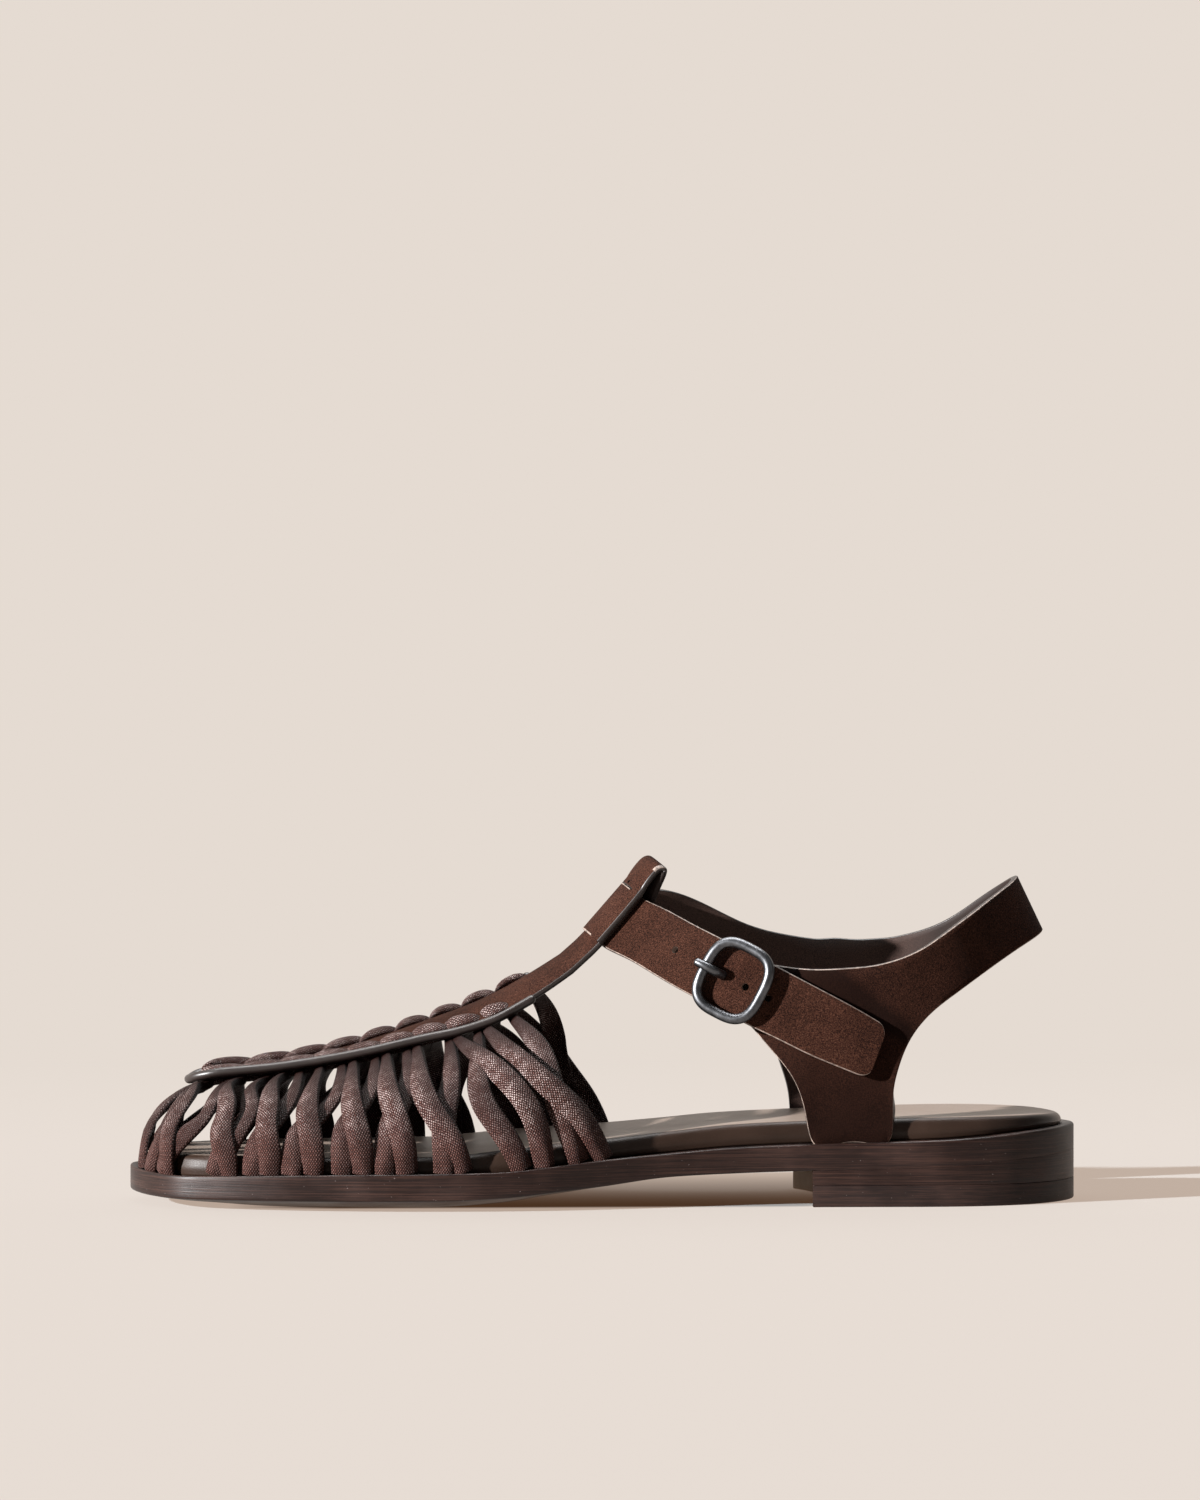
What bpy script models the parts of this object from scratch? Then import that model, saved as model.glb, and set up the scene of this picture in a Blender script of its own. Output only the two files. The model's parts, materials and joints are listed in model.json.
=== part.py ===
"""Left t-strap fisherman sandal: outsole, low heel, footbed, woven lace vamp under a
long narrow apron, t-strap that folds over the ankle strap, sling-back quarter, buckle.

The toe points to -X, the heel to +X, the lateral side is -Y and +Z is up. The origin is
the middle of the sandal's box, on the floor. Tables and named sizes are in millimetres.
"""

from math import cos, pi, radians, sin

import bmesh
import bpy
import numpy as np
from mathutils import Vector

MM = 0.001
GAP = 0.3  # clearance between pieces that touch

# Sole
SOLE_HALF = 131.0  # half the outsole's length
OUTSOLE_ROUND = 0.7
HEEL_BREAST = 55.2
TOP_PIECE = 5.9  # thickness of the heel's top piece
FOOTBED_ROUND = 2.0
FOOTBED_DISH = 1.0
TREAD_FLAT = 0.5  # share of the width that lies flat on the floor at the ball

# Uppers
LEATHER = 2.0  # quarter and ankle strap
THIN_LEATHER = 1.8  # apron and t-strap
PIPING_RADIUS = 1.25
LACE_WIDTH = 6.6
LACE_THICK = 1.5
SLOT_WIDTH = 3.0  # the lace bunches to this where it enters the apron
SLOT_THICK = 2.4
SLOT_PITCH = 9.2
MEDIAL_SLOT_SHIFT = 5.4  # the medial row is staggered this far towards the heel
MEDIAL_LEG_SHIFT = 3.6
LEG_CLEAR = 0.45  # between the footbed's side and a strip's foot
CROSS_LIFT = 1.25  # how far an upper strip rides over a lower one
RAIL_WIDTH = 4.0
LOOP_WIDTH = 4.0
LOOP_HEIGHT = 2.8
LOOP_INSET = {"lateral": 3.1, "medial": 3.7}  # from the apron's edge to a row's middle

# Ankle strap and its buckle
BAND_STEP = 6.5
CROSS_STEP = 2.4
HOLE_PITCH_X = 6.16
PRONG_HOLE_X = 30.9
HOLE_RADIUS = 1.35
RING_LENGTH = 17.6  # wire centre to wire centre, along the strap
RING_WIDTH = 19.7  # across the strap
RING_CORNER = 5.2
WIRE_RADIUS = 1.45
BAR_RADIUS = 1.1
PRONG_RADIUS = 1.0
PRONG_ROOT = 3.7  # from the buckle's middle to the prong's hole
PRONG_REACH = 10.4  # from the buckle's middle to the prong's tip
BUCKLE_X = 34.2

# Instep: the t-strap's end and the ankle strap wrap one round bar of foot
INSTEP_Y = 5.55
INSTEP_LEVEL = 34.7
INSTEP_SLOPE = radians(49.0)
INSTEP_TILT = 17.0

SOLE_COLUMNS = ("x", "lateral", "medial", "inset", "top", "edge_low", "mid_low", "foot_top")
SOLE_ROWS = (
    (-131.0, 2.0, 2.0, 4.0, 10.3, 3.4, 3.4, 15.1),
    (-124.6, -18.0, 22.0, 4.3, 9.4, 3.0, 2.4, 15.1),
    (-117.5, -27.0, 29.5, 4.7, 9.2, 2.9, 1.8, 15.0),
    (-110.0, -31.5, 34.0, 4.8, 9.4, 3.0, 1.2, 14.9),
    (-90.0, -38.5, 40.3, 5.0, 10.0, 3.1, 0.2, 14.8),
    (-80.0, -40.4, 41.8, 5.0, 10.2, 3.1, 0.0, 14.7),
    (-69.0, -42.0, 43.0, 5.0, 10.4, 3.1, 0.0, 14.7),
    (-48.0, -43.3, 43.5, 5.0, 10.6, 3.2, 0.0, 14.9),
    (-30.0, -43.3, 41.7, 4.9, 11.0, 3.9, 1.2, 16.6),
    (-14.0, -41.2, 37.7, 4.7, 12.5, 5.4, 3.8, 18.2),
    (-2.0, -38.2, 33.8, 4.4, 13.7, 6.6, 5.7, 19.2),
    (16.0, -33.5, 29.2, 4.0, 15.0, 8.6, 8.2, 21.0),
    (34.0, -31.1, 27.6, 3.6, 16.3, 9.3, 9.2, 22.7),
    (55.0, -30.7, 28.0, 3.5, 17.1, 9.9, 9.9, 23.6),
    (75.0, -31.2, 29.5, 3.5, 17.6, 10.4, 10.4, 24.1),
    (90.0, -31.4, 30.5, 3.5, 18.1, 10.9, 10.9, 24.4),
    (103.0, -29.8, 29.8, 3.5, 18.9, 11.7, 11.7, 24.5),
    (114.5, -25.4, 25.8, 3.5, 19.9, 12.7, 12.7, 24.6),
    (123.0, -18.6, 19.2, 3.5, 20.5, 13.3, 13.3, 24.7),
    (128.0, -11.3, 12.0, 3.5, 20.8, 13.6, 13.6, 24.7),
    (131.0, 0.5, 0.5, 3.5, 20.9, 13.7, 13.7, 24.7),
)

# Apron and t-strap, from the toe up to the fold: the crest of its upper face, half its
# width, its roll to the lateral side in degrees and the radius of its crown
STRAP_COLUMNS = ("x", "y", "z", "half", "tilt", "crown")
STRAP_ROWS = (
    (-113.4, 3.4, 34.0, 2.0, 0.0, 45.0),
    (-112.6, 3.4, 34.5, 3.9, 0.0, 45.0),
    (-110.8, 3.3, 35.2, 5.7, 0.0, 45.0),
    (-107.6, 3.2, 36.1, 7.2, 0.0, 45.0),
    (-102.0, 3.0, 36.9, 8.0, 0.0, 45.0),
    (-94.5, 2.6, 37.7, 8.5, 0.0, 45.0),
    (-86.4, 2.2, 38.9, 9.1, 0.0, 44.0),
    (-77.8, 1.8, 40.7, 9.7, 1.0, 42.0),
    (-67.7, 1.4, 43.2, 10.3, 2.0, 37.0),
    (-58.0, 1.1, 46.3, 10.9, 3.0, 30.0),
    (-50.0, 0.8, 49.1, 11.4, 4.0, 25.0),
    (-42.0, 0.6, 51.9, 11.9, 6.0, 22.0),
    (-34.0, 0.4, 55.0, 11.9, 8.0, 21.0),
    (-26.0, 0.3, 58.8, 10.6, 11.0, 20.0),
    (-19.0, 0.2, 62.6, 9.2, 14.0, 19.0),
    (-11.7, 0.1, 67.0, 7.9, 16.0, 18.5),
)
# The rest of the t-strap on the instep: how far up the slope, and its upper face's radius
FOLD_COLUMNS = ("along", "radius")
FOLD_ROWS = ((48.5, 18.1), (53.5, 18.0), (61.0, 18.0), (66.0, 18.1), (70.5, 18.9), (75.0, 19.0))
FOLD_MIDDLE = 78.3
FOLD_LEVEL = 16.7
FOLD_RADIUS = 2.2
BEHIND_ROWS = (
    (77.2, 14.5),
    (75.0, 14.3),
    (73.4, 13.7),
    (72.0, 12.5),
    (70.8, 11.5),
    (69.2, 11.1),
    (58.0, 11.2),
    (52.4, 11.2),
)
BEHIND_TURN = 25.0  # half of the turn round the bar that the layer behind takes
TAIL_LOW, TAIL_HIGH = 52.6, 68.4  # along the slope, the tail that lies on the front
TAIL_LEVEL = 19.2
TAIL_THICK = 1.6
STRAP_HALF = 7.3

# Quarter and ankle strap: its lower and upper edges on the outer face, from the lateral
# front end round the back of the ankle, over the instep and on to the strap's free tip
BAND_COLUMNS = ("low_x", "low_y", "low_z", "top_x", "top_y", "top_z")
BAND_ROWS = (
    (29.6, -18.5, 57.0, 35.2, -19.3, 66.8),
    (38.1, -23.2, 50.0, 44.4, -23.9, 65.6),
    (44.4, -26.7, 42.7, 51.0, -27.0, 64.7),
    (49.8, -28.8, 35.6, 55.6, -28.2, 64.4),
    (53.3, -29.6, 26.1, 58.8, -28.6, 64.4),
    (55.6, -29.7, 17.5, 61.3, -28.8, 64.5),
    (66.0, -29.9, 17.8, 66.2, -29.0, 64.8),
    (76.3, -30.1, 18.2, 71.5, -28.9, 65.3),
    (77.2, -30.1, 29.0, 75.5, -28.7, 66.1),
    (78.6, -29.8, 37.0, 79.0, -28.3, 67.1),
    (82.0, -28.9, 45.3, 83.0, -27.5, 68.6),
    (87.5, -27.6, 52.2, 87.5, -26.2, 70.9),
    (94.5, -25.1, 57.5, 93.5, -23.8, 74.8),
    (103.0, -20.6, 63.1, 100.5, -19.6, 79.4),
    (114.2, -13.2, 70.0, 108.6, -12.6, 84.8),
    (120.6, -6.6, 73.5, 113.8, -6.2, 88.1),
    (122.4, 0.5, 74.6, 115.4, 0.5, 89.3),
    (120.6, 7.6, 73.5, 113.8, 7.2, 87.9),
    (114.2, 14.2, 69.9, 108.6, 13.6, 83.9),
    (103.5, 21.0, 63.6, 100.5, 20.2, 77.6),
    (95.0, 24.6, 57.8, 93.5, 23.8, 73.9),
    (87.5, 27.0, 51.6, 87.0, 26.2, 71.9),
    (82.3, 28.1, 44.6, 82.5, 27.2, 71.0),
    (79.2, 28.5, 36.5, 79.0, 27.9, 70.7),
    (78.0, 28.6, 28.5, 75.8, 28.2, 70.5),
    (77.2, 28.5, 18.1, 71.8, 28.3, 70.5),
    (66.0, 27.9, 17.8, 67.0, 28.3, 70.8),
    (55.2, 27.1, 17.5, 62.2, 28.1, 70.6),
    (53.9, 27.3, 26.0, 59.8, 27.9, 70.8),
    (51.8, 27.3, 34.5, 57.0, 27.6, 71.2),
    (48.2, 27.0, 43.8, 53.0, 27.0, 71.9),
    (42.8, 26.2, 52.0, 47.8, 26.2, 73.0),
    (34.2, 24.6, 59.4, 40.2, 24.8, 75.5),
    (22.0, 21.4, 66.0, 28.4, 21.8, 81.2),
    (10.5, 17.6, 70.8, 17.6, 17.4, 85.0),
)
# Where the strap lies round the instep under the t-strap: angle, and its edges' places
CROSS_COLUMNS = ("angle", "low_along", "top_along")
CROSS_ROWS = ((-28.0, 55.4, 71.2), (-6.0, 54.0, 69.9), (17.0, 53.2, 69.4), (38.0, 52.8, 69.5))
CROSS_RADIUS = 15.7
LATERAL_ROWS = (
    (5.3, -10.0, 67.6, 15.6, -9.6, 80.7),
    (13.2, -16.8, 63.0, 23.2, -16.5, 76.6),
    (21.6, -22.4, 58.2, 30.2, -22.2, 73.0),
    (29.6, -26.2, 54.1, 37.6, -26.0, 69.2),
    (37.7, -28.8, 49.9, 45.8, -28.6, 65.1),
    (46.2, -30.6, 45.8, 54.6, -30.3, 60.5),
    (54.6, -31.7, 41.7, 62.6, -31.3, 56.3),
    (62.5, -32.2, 38.6, 69.3, -31.7, 52.6),
    (67.8, -32.4, 36.6, 73.3, -31.9, 50.3),
    (70.0, -32.4, 37.6, 75.1, -32.0, 47.8),
)

# Lace strips of one side: the slot each leaves (counted from the instep), where its leg
# meets the sole, and whether it lies over (1) or under (0) the one that it crosses
LACE_COLUMNS = ("slot", "leg_x", "over")
LACE_ROWS = (
    (0.00, -8.7, 0),
    (0.78, -2.1, 1),
    (1.05, -24.2, 0),
    (1.71, -18.3, 1),
    (1.92, -45.1, 0),
    (2.87, -40.2, 1),
    (3.18, -60.8, 0),
    (3.78, -55.1, 1),
    (4.12, -72.5, 0),
    (4.78, -67.1, 1),
    (5.13, -86.1, 0),
    (5.78, -80.4, 1),
    (6.39, -96.5, 0),
    (6.88, -91.9, 1),
    (7.37, -106.6, 0),
    (8.10, -103.3, 1),
    (8.40, -121.0, 0),
    (9.22, -119.8, 1),
    (9.38, -124.6, 0),
    (9.44, -127.2, 0),
)
FIRST_SLOT_X = -25.3
LAST_SLOT = 9.5
PIPING_ENDS = (-0.45, 0.15)  # slots where it stops on the lateral and the medial side

MATERIALS = {
    "suede": ((0.070, 0.033, 0.022), 0.95, 0.0),
    "lace": ((0.115, 0.065, 0.054), 0.75, 0.0),
    "edge_leather": ((0.028, 0.021, 0.020), 0.45, 0.0),
    "footbed_leather": ((0.060, 0.046, 0.038), 0.55, 0.0),
    "sole_leather": ((0.045, 0.030, 0.026), 0.55, 0.0),
    "top_piece_rubber": ((0.030, 0.024, 0.022), 0.70, 0.0),
    "gunmetal": ((0.110, 0.115, 0.125), 0.35, 1.0),
}


# ---------------------------------------------------------------- curves and tables


def column(rows, columns, name):
    return np.array([row[columns.index(name)] for row in rows], float)


def natural_spline(knots, values):
    """Natural cubic spline through values at knots, as a function of the knot variable."""
    knots = np.asarray(knots, float)
    values = np.asarray(values, float)
    n = len(knots)
    step = np.diff(knots)
    system = np.eye(n)
    right = np.zeros((n,) + values.shape[1:])
    for i in range(1, n - 1):
        system[i, i - 1 : i + 2] = step[i - 1], 2 * (step[i - 1] + step[i]), step[i]
        right[i] = 6 * ((values[i + 1] - values[i]) / step[i] - (values[i] - values[i - 1]) / step[i - 1])
    bend = np.linalg.solve(system, right)

    def at(t):
        t = np.asarray(t, float)
        i = np.clip(np.searchsorted(knots, t) - 1, 0, n - 2)
        h = step[i]
        a = (knots[i + 1] - t) / h
        b = (t - knots[i]) / h
        if values.ndim > 1:
            a, b, h = a[..., None], b[..., None], h[..., None]
        cubic = ((a**3 - a) * bend[i] + (b**3 - b) * bend[i + 1]) * h * h / 6
        return a * values[i] + b * values[i + 1] + cubic

    return at


def steady_curve(knots, values):
    """Cubic through values at knots that never swings past them."""
    knots = np.asarray(knots, float)
    values = np.asarray(values, float)
    step = np.diff(knots)
    rise = np.diff(values) / step
    slope = np.zeros(len(knots))
    slope[0], slope[-1] = rise[0], rise[-1]
    for i in range(1, len(knots) - 1):
        if rise[i - 1] * rise[i] > 0:
            slope[i] = 2 * rise[i - 1] * rise[i] / (rise[i - 1] + rise[i])

    def at(x):
        x = np.clip(np.asarray(x, float), knots[0], knots[-1])
        i = np.clip(np.searchsorted(knots, x) - 1, 0, len(knots) - 2)
        h = step[i]
        t = (x - knots[i]) / h
        start = values[i] * (1 + 2 * t) * (1 - t) ** 2 + slope[i] * h * t * (1 - t) ** 2
        end = values[i + 1] * t * t * (3 - 2 * t) + slope[i + 1] * h * t * t * (t - 1)
        return start + end

    return at


def unit(v):
    v = np.asarray(v, float)
    return v / np.maximum(np.linalg.norm(v, axis=-1, keepdims=True), 1e-12)


def lengths_along(points):
    steps = np.linalg.norm(np.diff(points, axis=0), axis=1)
    return np.concatenate([[0.0], np.cumsum(steps)])


# ---------------------------------------------------------------- making objects


def collection_named(name):
    found = bpy.data.collections.new(name)
    bpy.context.scene.collection.children.link(found)
    return found


def material_named(name):
    found = bpy.data.materials.get(name)
    if found:
        return found
    colour, roughness, metallic = MATERIALS[name]
    found = bpy.data.materials.new(name)
    found.use_nodes = True
    shader = found.node_tree.nodes["Principled BSDF"]
    shader.inputs["Base Color"].default_value = (*colour, 1.0)
    shader.inputs["Roughness"].default_value = roughness
    shader.inputs["Metallic"].default_value = metallic
    return found


def finished(name, mesh, material, collection, sharp_degrees=40.0):
    obj = bpy.data.objects.new(name, mesh)
    collection.objects.link(obj)
    mesh.materials.clear()
    mesh.materials.append(material_named(material))
    mesh.shade_smooth()
    mesh.set_sharp_from_angle(angle=radians(sharp_degrees))
    return obj


def mesh_of(name, points, faces):
    """Mesh from points in millimetres, with its faces turned outwards."""
    mesh = bpy.data.meshes.new(name)
    mesh.from_pydata([tuple(p) for p in np.asarray(points) * MM], [], faces)
    shape = bmesh.new()
    shape.from_mesh(mesh)
    bmesh.ops.recalc_face_normals(shape, faces=shape.faces)
    if shape.calc_volume(signed=True) < 0:
        bmesh.ops.reverse_faces(shape, faces=shape.faces)
    shape.to_mesh(mesh)
    shape.free()
    return mesh


def ring_faces(rings, size):
    """Quads between neighbouring rings of one loft, and its two end caps."""
    faces = []
    for i in range(rings - 1):
        for j in range(size):
            k = (j + 1) % size
            faces.append((i * size + j, i * size + k, (i + 1) * size + k, (i + 1) * size + j))
    faces.append(tuple(range(size)))
    faces.append(tuple((rings - 1) * size + j for j in range(size)))
    return faces


def loft(name, rings):
    """Closed skin over rings of equal point counts."""
    rings = np.asarray(rings, float)
    return mesh_of(name, rings.reshape(-1, 3), ring_faces(len(rings), rings.shape[1]))


def sheet(name, grid, material, collection, thickness=LEATHER):
    """Leather sheet: an open grid on its outer face, thickened inwards."""
    rows, width = grid.shape[:2]
    mesh = bpy.data.meshes.new(name)
    faces = []
    for i in range(rows - 1):
        for j in range(width - 1):
            a = i * width + j
            faces.append((a, a + 1, a + width + 1, a + width))
    mesh.from_pydata([tuple(p) for p in grid.reshape(-1, 3) * MM], [], faces)
    obj = finished(name, mesh, material, collection)
    solid = obj.modifiers.new("leather", "SOLIDIFY")
    solid.thickness = thickness * MM
    solid.offset = -1.0
    solid.use_even_offset = True
    return obj


def applied(obj, weld=0.00001):
    """Replaces an object's data with its evaluated mesh, ends welded, so it can be joined."""
    graph = bpy.context.evaluated_depsgraph_get()
    mesh = bpy.data.meshes.new_from_object(obj.evaluated_get(graph), depsgraph=graph)
    shape = bmesh.new()
    shape.from_mesh(mesh)
    bmesh.ops.remove_doubles(shape, verts=shape.verts, dist=weld)
    shape.to_mesh(mesh)
    shape.free()
    name = obj.name
    made = bpy.data.objects.new(name, mesh)
    made.matrix_world = obj.matrix_world.copy()
    home = obj.users_collection[0]
    bpy.data.objects.remove(obj)
    home.objects.link(made)
    made.name = name
    return made


def body_of(first):
    """All faces that hang together with one by shared edges."""
    body, front = {first}, [first]
    while front:
        for edge in front.pop().edges:
            if len(edge.link_faces) == 2:
                new = [face for face in edge.link_faces if face not in body]
                body.update(new)
                front.extend(new)
    return body


def largest_body(obj):
    """Applies an object's joins and drops the slivers they leave beside the main body."""
    made = applied(obj, weld=0.0)
    shape = bmesh.new()
    shape.from_mesh(made.data)
    bmesh.ops.triangulate(shape, faces=shape.faces)
    left, bodies = set(shape.faces), []
    while left:
        body = body_of(next(iter(left)))
        left -= body
        bodies.append(body)
    bodies.sort(key=len)
    stray = [face for body in bodies[:-1] for face in body]
    bmesh.ops.delete(shape, geom=stray, context="FACES")
    shape.to_mesh(made.data)
    shape.free()
    return made


def boolean(obj, other, operation, solver="EXACT"):
    """Joins or cuts with another object, which stays out of the model."""
    other.hide_render = True
    other.display_type = "WIRE"
    step = obj.modifiers.new(operation.lower(), "BOOLEAN")
    step.operation = operation
    step.solver = solver
    step.object = other


def wire(name, points, radius, material, collection, cyclic=False, resolution=2):
    """Round wire along points in millimetres."""
    curve = bpy.data.curves.new(name, "CURVE")
    curve.dimensions = "3D"
    curve.bevel_depth = radius * MM
    curve.bevel_resolution = resolution
    curve.use_fill_caps = not cyclic
    line = curve.splines.new("POLY")
    line.points.add(len(points) - 1)
    for spot, p in zip(line.points, points):
        spot.co = (*(np.asarray(p) * MM), 1.0)
    line.use_cyclic_u = cyclic
    obj = bpy.data.objects.new(name, curve)
    collection.objects.link(obj)
    curve.materials.append(material_named(material))
    made = applied(obj)
    made.data.shade_smooth()
    made.data.set_sharp_from_angle(angle=radians(60))
    return made


# ---------------------------------------------------------------- sole and footbed


def turn_of(x):
    """Angle round the sole's length: 0 at the toe, pi at the back."""
    return np.arccos(np.clip(-np.asarray(x, float) / SOLE_HALF, -1.0, 1.0))


def sole_spline(name):
    return natural_spline(turn_of(column(SOLE_ROWS, SOLE_COLUMNS, "x")), column(SOLE_ROWS, SOLE_COLUMNS, name))


def sole_height(name):
    return steady_curve(column(SOLE_ROWS, SOLE_COLUMNS, "x"), column(SOLE_ROWS, SOLE_COLUMNS, name))


def rim(side, offset=0.0, of_inset=0.0, count=240):
    """The outsole's edge on one side in plan, moved in by offset and by a share of the inset."""
    t = np.linspace(0, pi, count)
    x = -SOLE_HALF * np.cos(t)
    y = sole_spline(side)(t)
    plan = np.stack([x, y], axis=1)
    along = unit(np.gradient(plan, axis=0))
    inward = np.stack([-along[:, 1], along[:, 0]], axis=1)
    if side == "medial":
        inward = -inward
    inward[0], inward[-1] = (1.0, 0.0), (-1.0, 0.0)
    depth = offset + of_inset * sole_height("inset")(x)
    return plan + inward * depth[:, None]


def side_y(edge):
    order = np.argsort(edge[:, 0])
    return lambda x: float(np.interp(x, edge[order, 0], edge[order, 1]))


def stations(start, end, count):
    t = np.linspace(0, pi, count)
    return (start + end) / 2 - (end - start) / 2 * np.cos(t)


def crown_share(u):
    """0 over the flat middle of the tread, rising to 1 at the edge."""
    return np.clip((np.abs(u) - TREAD_FLAT) / (1 - TREAD_FLAT), 0, 1) ** 2


def tread(x, u):
    edge, mid = sole_height("edge_low")(x), sole_height("mid_low")(x)
    return mid + (edge - mid) * crown_share(u)


def seat(x, u):
    """The outsole's upper face, which dips with the tread under the ball."""
    dip = 0.8 * (sole_height("edge_low")(x) - sole_height("mid_low")(x))
    return sole_height("top")(x) - dip * (1 - crown_share(u))


def slab_ring(x, lateral, medial, top, low, round_top, round_low, shares, steps):
    """One closed section: across the top, round the medial edge, back below, round."""
    mid, half = (lateral + medial) / 2, (medial - lateral) / 2
    round_top, round_low = min(round_top, 0.45 * half), min(round_low, 0.45 * half)
    ring = [(x, mid + u * (half - round_top), top(x, u)) for u in shares]
    turns = [pi / 2 * (k + 1) / steps for k in range(steps)]
    for a in turns:
        ring.append((x, medial - round_top * (1 - sin(a)), top(x, 1.0) - round_top * (1 - cos(a))))
    ring.append((x, medial, low(x, 1.0) + round_low))
    ring += [(x, mid + u * (half - round_low), low(x, u)) for u in shares[::-1]]
    ring.append((x, lateral, low(x, -1.0) + round_low))
    for a in turns[::-1]:
        ring.append((x, lateral + round_top * (1 - sin(a)), top(x, -1.0) - round_top * (1 - cos(a))))
    return ring


def slab(name, xs, edges, top, low, rounds, shares, material, collection, steps=1):
    lateral, medial = side_y(edges[0]), side_y(edges[1])
    rings = [slab_ring(x, lateral(x), medial(x), top, low, *rounds, shares, steps) for x in xs]
    return finished(name, loft(name, rings), material, collection)


def make_outsole(parts):
    edges = rim("lateral"), rim("medial")
    end = SOLE_HALF - 0.12
    xs = np.sort(np.concatenate([stations(-end, end, 30), (-80.0, -48.0)]))
    shares = (-1.0, -0.75, -TREAD_FLAT, 0.0, TREAD_FLAT, 0.75, 1.0)
    rounds = OUTSOLE_ROUND, OUTSOLE_ROUND
    return slab("outsole", xs, edges, seat, tread, rounds, shares, "sole_leather", parts)


def make_heel(parts):
    """The stack and its top piece stand under the seat, flush with the outsole's edge."""
    edges = rim("lateral"), rim("medial")
    back = SOLE_HALF - 0.25
    bend = np.linspace(0, pi / 2, 12)
    xs = HEEL_BREAST + (back - HEEL_BREAST) * np.sin(bend)
    shares = (-1.0, 0.0, 1.0)

    def under_sole(x, u):
        return tread(x, u) - GAP

    def stack_low(x, u):
        return TOP_PIECE + GAP

    def piece_top(x, u):
        return TOP_PIECE

    def floor(x, u):
        return 0.0

    stack = slab("heel_stack", xs, edges, under_sole, stack_low, (0.2, 0.2), shares, "sole_leather", parts)
    piece = slab(
        "heel_top_piece", xs, edges, piece_top, floor, (0.3, 0.6), shares, "top_piece_rubber", parts
    )
    return stack, piece


def footbed_top(x, u):
    return sole_height("foot_top")(x) - FOOTBED_DISH * (1 - u * u)


def footbed_low(x, u):
    return seat(x, u) + GAP


def make_footbed(parts):
    edges = rim("lateral", of_inset=1.0), rim("medial", of_inset=1.0)
    start, end = edges[0][0, 0] + 0.15, edges[0][-1, 0] - 0.15
    xs = stations(start, end, 28)
    shares = (-1.0, -0.5, 0.0, 0.5, 1.0)
    rounds = FOOTBED_ROUND, 0.4
    return slab(
        "footbed", xs, edges, footbed_top, footbed_low, rounds, shares, "footbed_leather", parts, steps=2
    )


# ---------------------------------------------------------------- apron and t-strap

SLOPE = np.array([cos(INSTEP_SLOPE), 0.0, sin(INSTEP_SLOPE)])
LEVEL = np.array([-sin(INSTEP_SLOPE), 0.0, cos(INSTEP_SLOPE)])
NEAR = np.array([0.0, -1.0, 0.0])


def on_instep(along, radius, degrees):
    """A point of the instep's bar: up its slope, out from its axis, and round it."""
    a = radians(degrees)
    axis = SLOPE * along + LEVEL * INSTEP_LEVEL - NEAR * INSTEP_Y
    return axis + radius * (cos(a) * LEVEL + sin(a) * NEAR)


def apron_track(count):
    """Rows of the strap table, smoothed: crest, half width, tilt and crown."""
    rows = np.array(STRAP_ROWS)
    knots = lengths_along(rows[:, :3])
    smooth = natural_spline(knots, rows[:, [0, 1, 2, 4, 5]])
    widths = steady_curve(knots, rows[:, 3])
    share = np.linspace(0, 1, count)
    s = knots[-1] * share
    ends = np.array([0.0, 1.2, 3.0, 5.8])
    s = np.sort(np.concatenate([ends, s[s > ends[-1] + 2.0]]))
    values = smooth(s)
    return values[:, :3], widths(s), values[:, 3], values[:, 4]


def frames(crest):
    along = unit(np.gradient(crest, axis=0))
    along[:, 1] = 0.0
    along = unit(along)
    level = np.stack([-along[:, 2], along[:, 1], along[:, 0]], axis=1)
    return along, level


def crowned(centre, level, half, tilt, crown, shares):
    """Points across a strap that is rolled by tilt and rounded to the crown's radius."""
    base = radians(tilt)
    turn = base + np.asarray(shares) * half / crown
    side = crown * (np.sin(turn) - sin(base))
    drop = crown * (cos(base) - np.cos(turn))
    return centre + side[:, None] * NEAR - drop[:, None] * level


def fold_path():
    """Up the instep, round the fold and down behind, as (along, radius)."""
    bends = np.linspace(0, pi, 9)
    over = [(FOLD_MIDDLE + FOLD_RADIUS * sin(a), FOLD_LEVEL + FOLD_RADIUS * cos(a)) for a in bends]
    return list(FOLD_ROWS) + over + list(BEHIND_ROWS)


def strap_grid(shares):
    crest, half, tilt, crown = apron_track(25)
    _, level = frames(crest)
    rows = [crowned(*row, shares) for row in zip(crest, level, half, tilt, crown)]
    for along, radius in fold_path():
        reach = min(np.degrees(STRAP_HALF / radius), BEHIND_TURN)
        turns = INSTEP_TILT + np.asarray(shares) * reach
        rows.append(np.array([on_instep(along, radius, a) for a in turns]))
    return np.array(rows)


def make_t_strap(parts, cutters):
    shares = np.linspace(-1, 1, 7)
    grid = strap_grid(shares)
    strap = sheet("t_strap", grid, "suede", parts, THIN_LEATHER)
    tail_rows = []
    for along in np.linspace(TAIL_LOW, TAIL_HIGH, 4):
        turns = INSTEP_TILT + np.degrees(shares * (STRAP_HALF - 0.4) / TAIL_LEVEL)
        tail_rows.append([on_instep(along, TAIL_LEVEL, a) for a in turns])
    tail = sheet("tail", np.array(tail_rows), "suede", cutters, TAIL_THICK)
    strap, tail = applied(strap), applied(tail)
    boolean(strap, tail, "UNION")
    return strap


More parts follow.
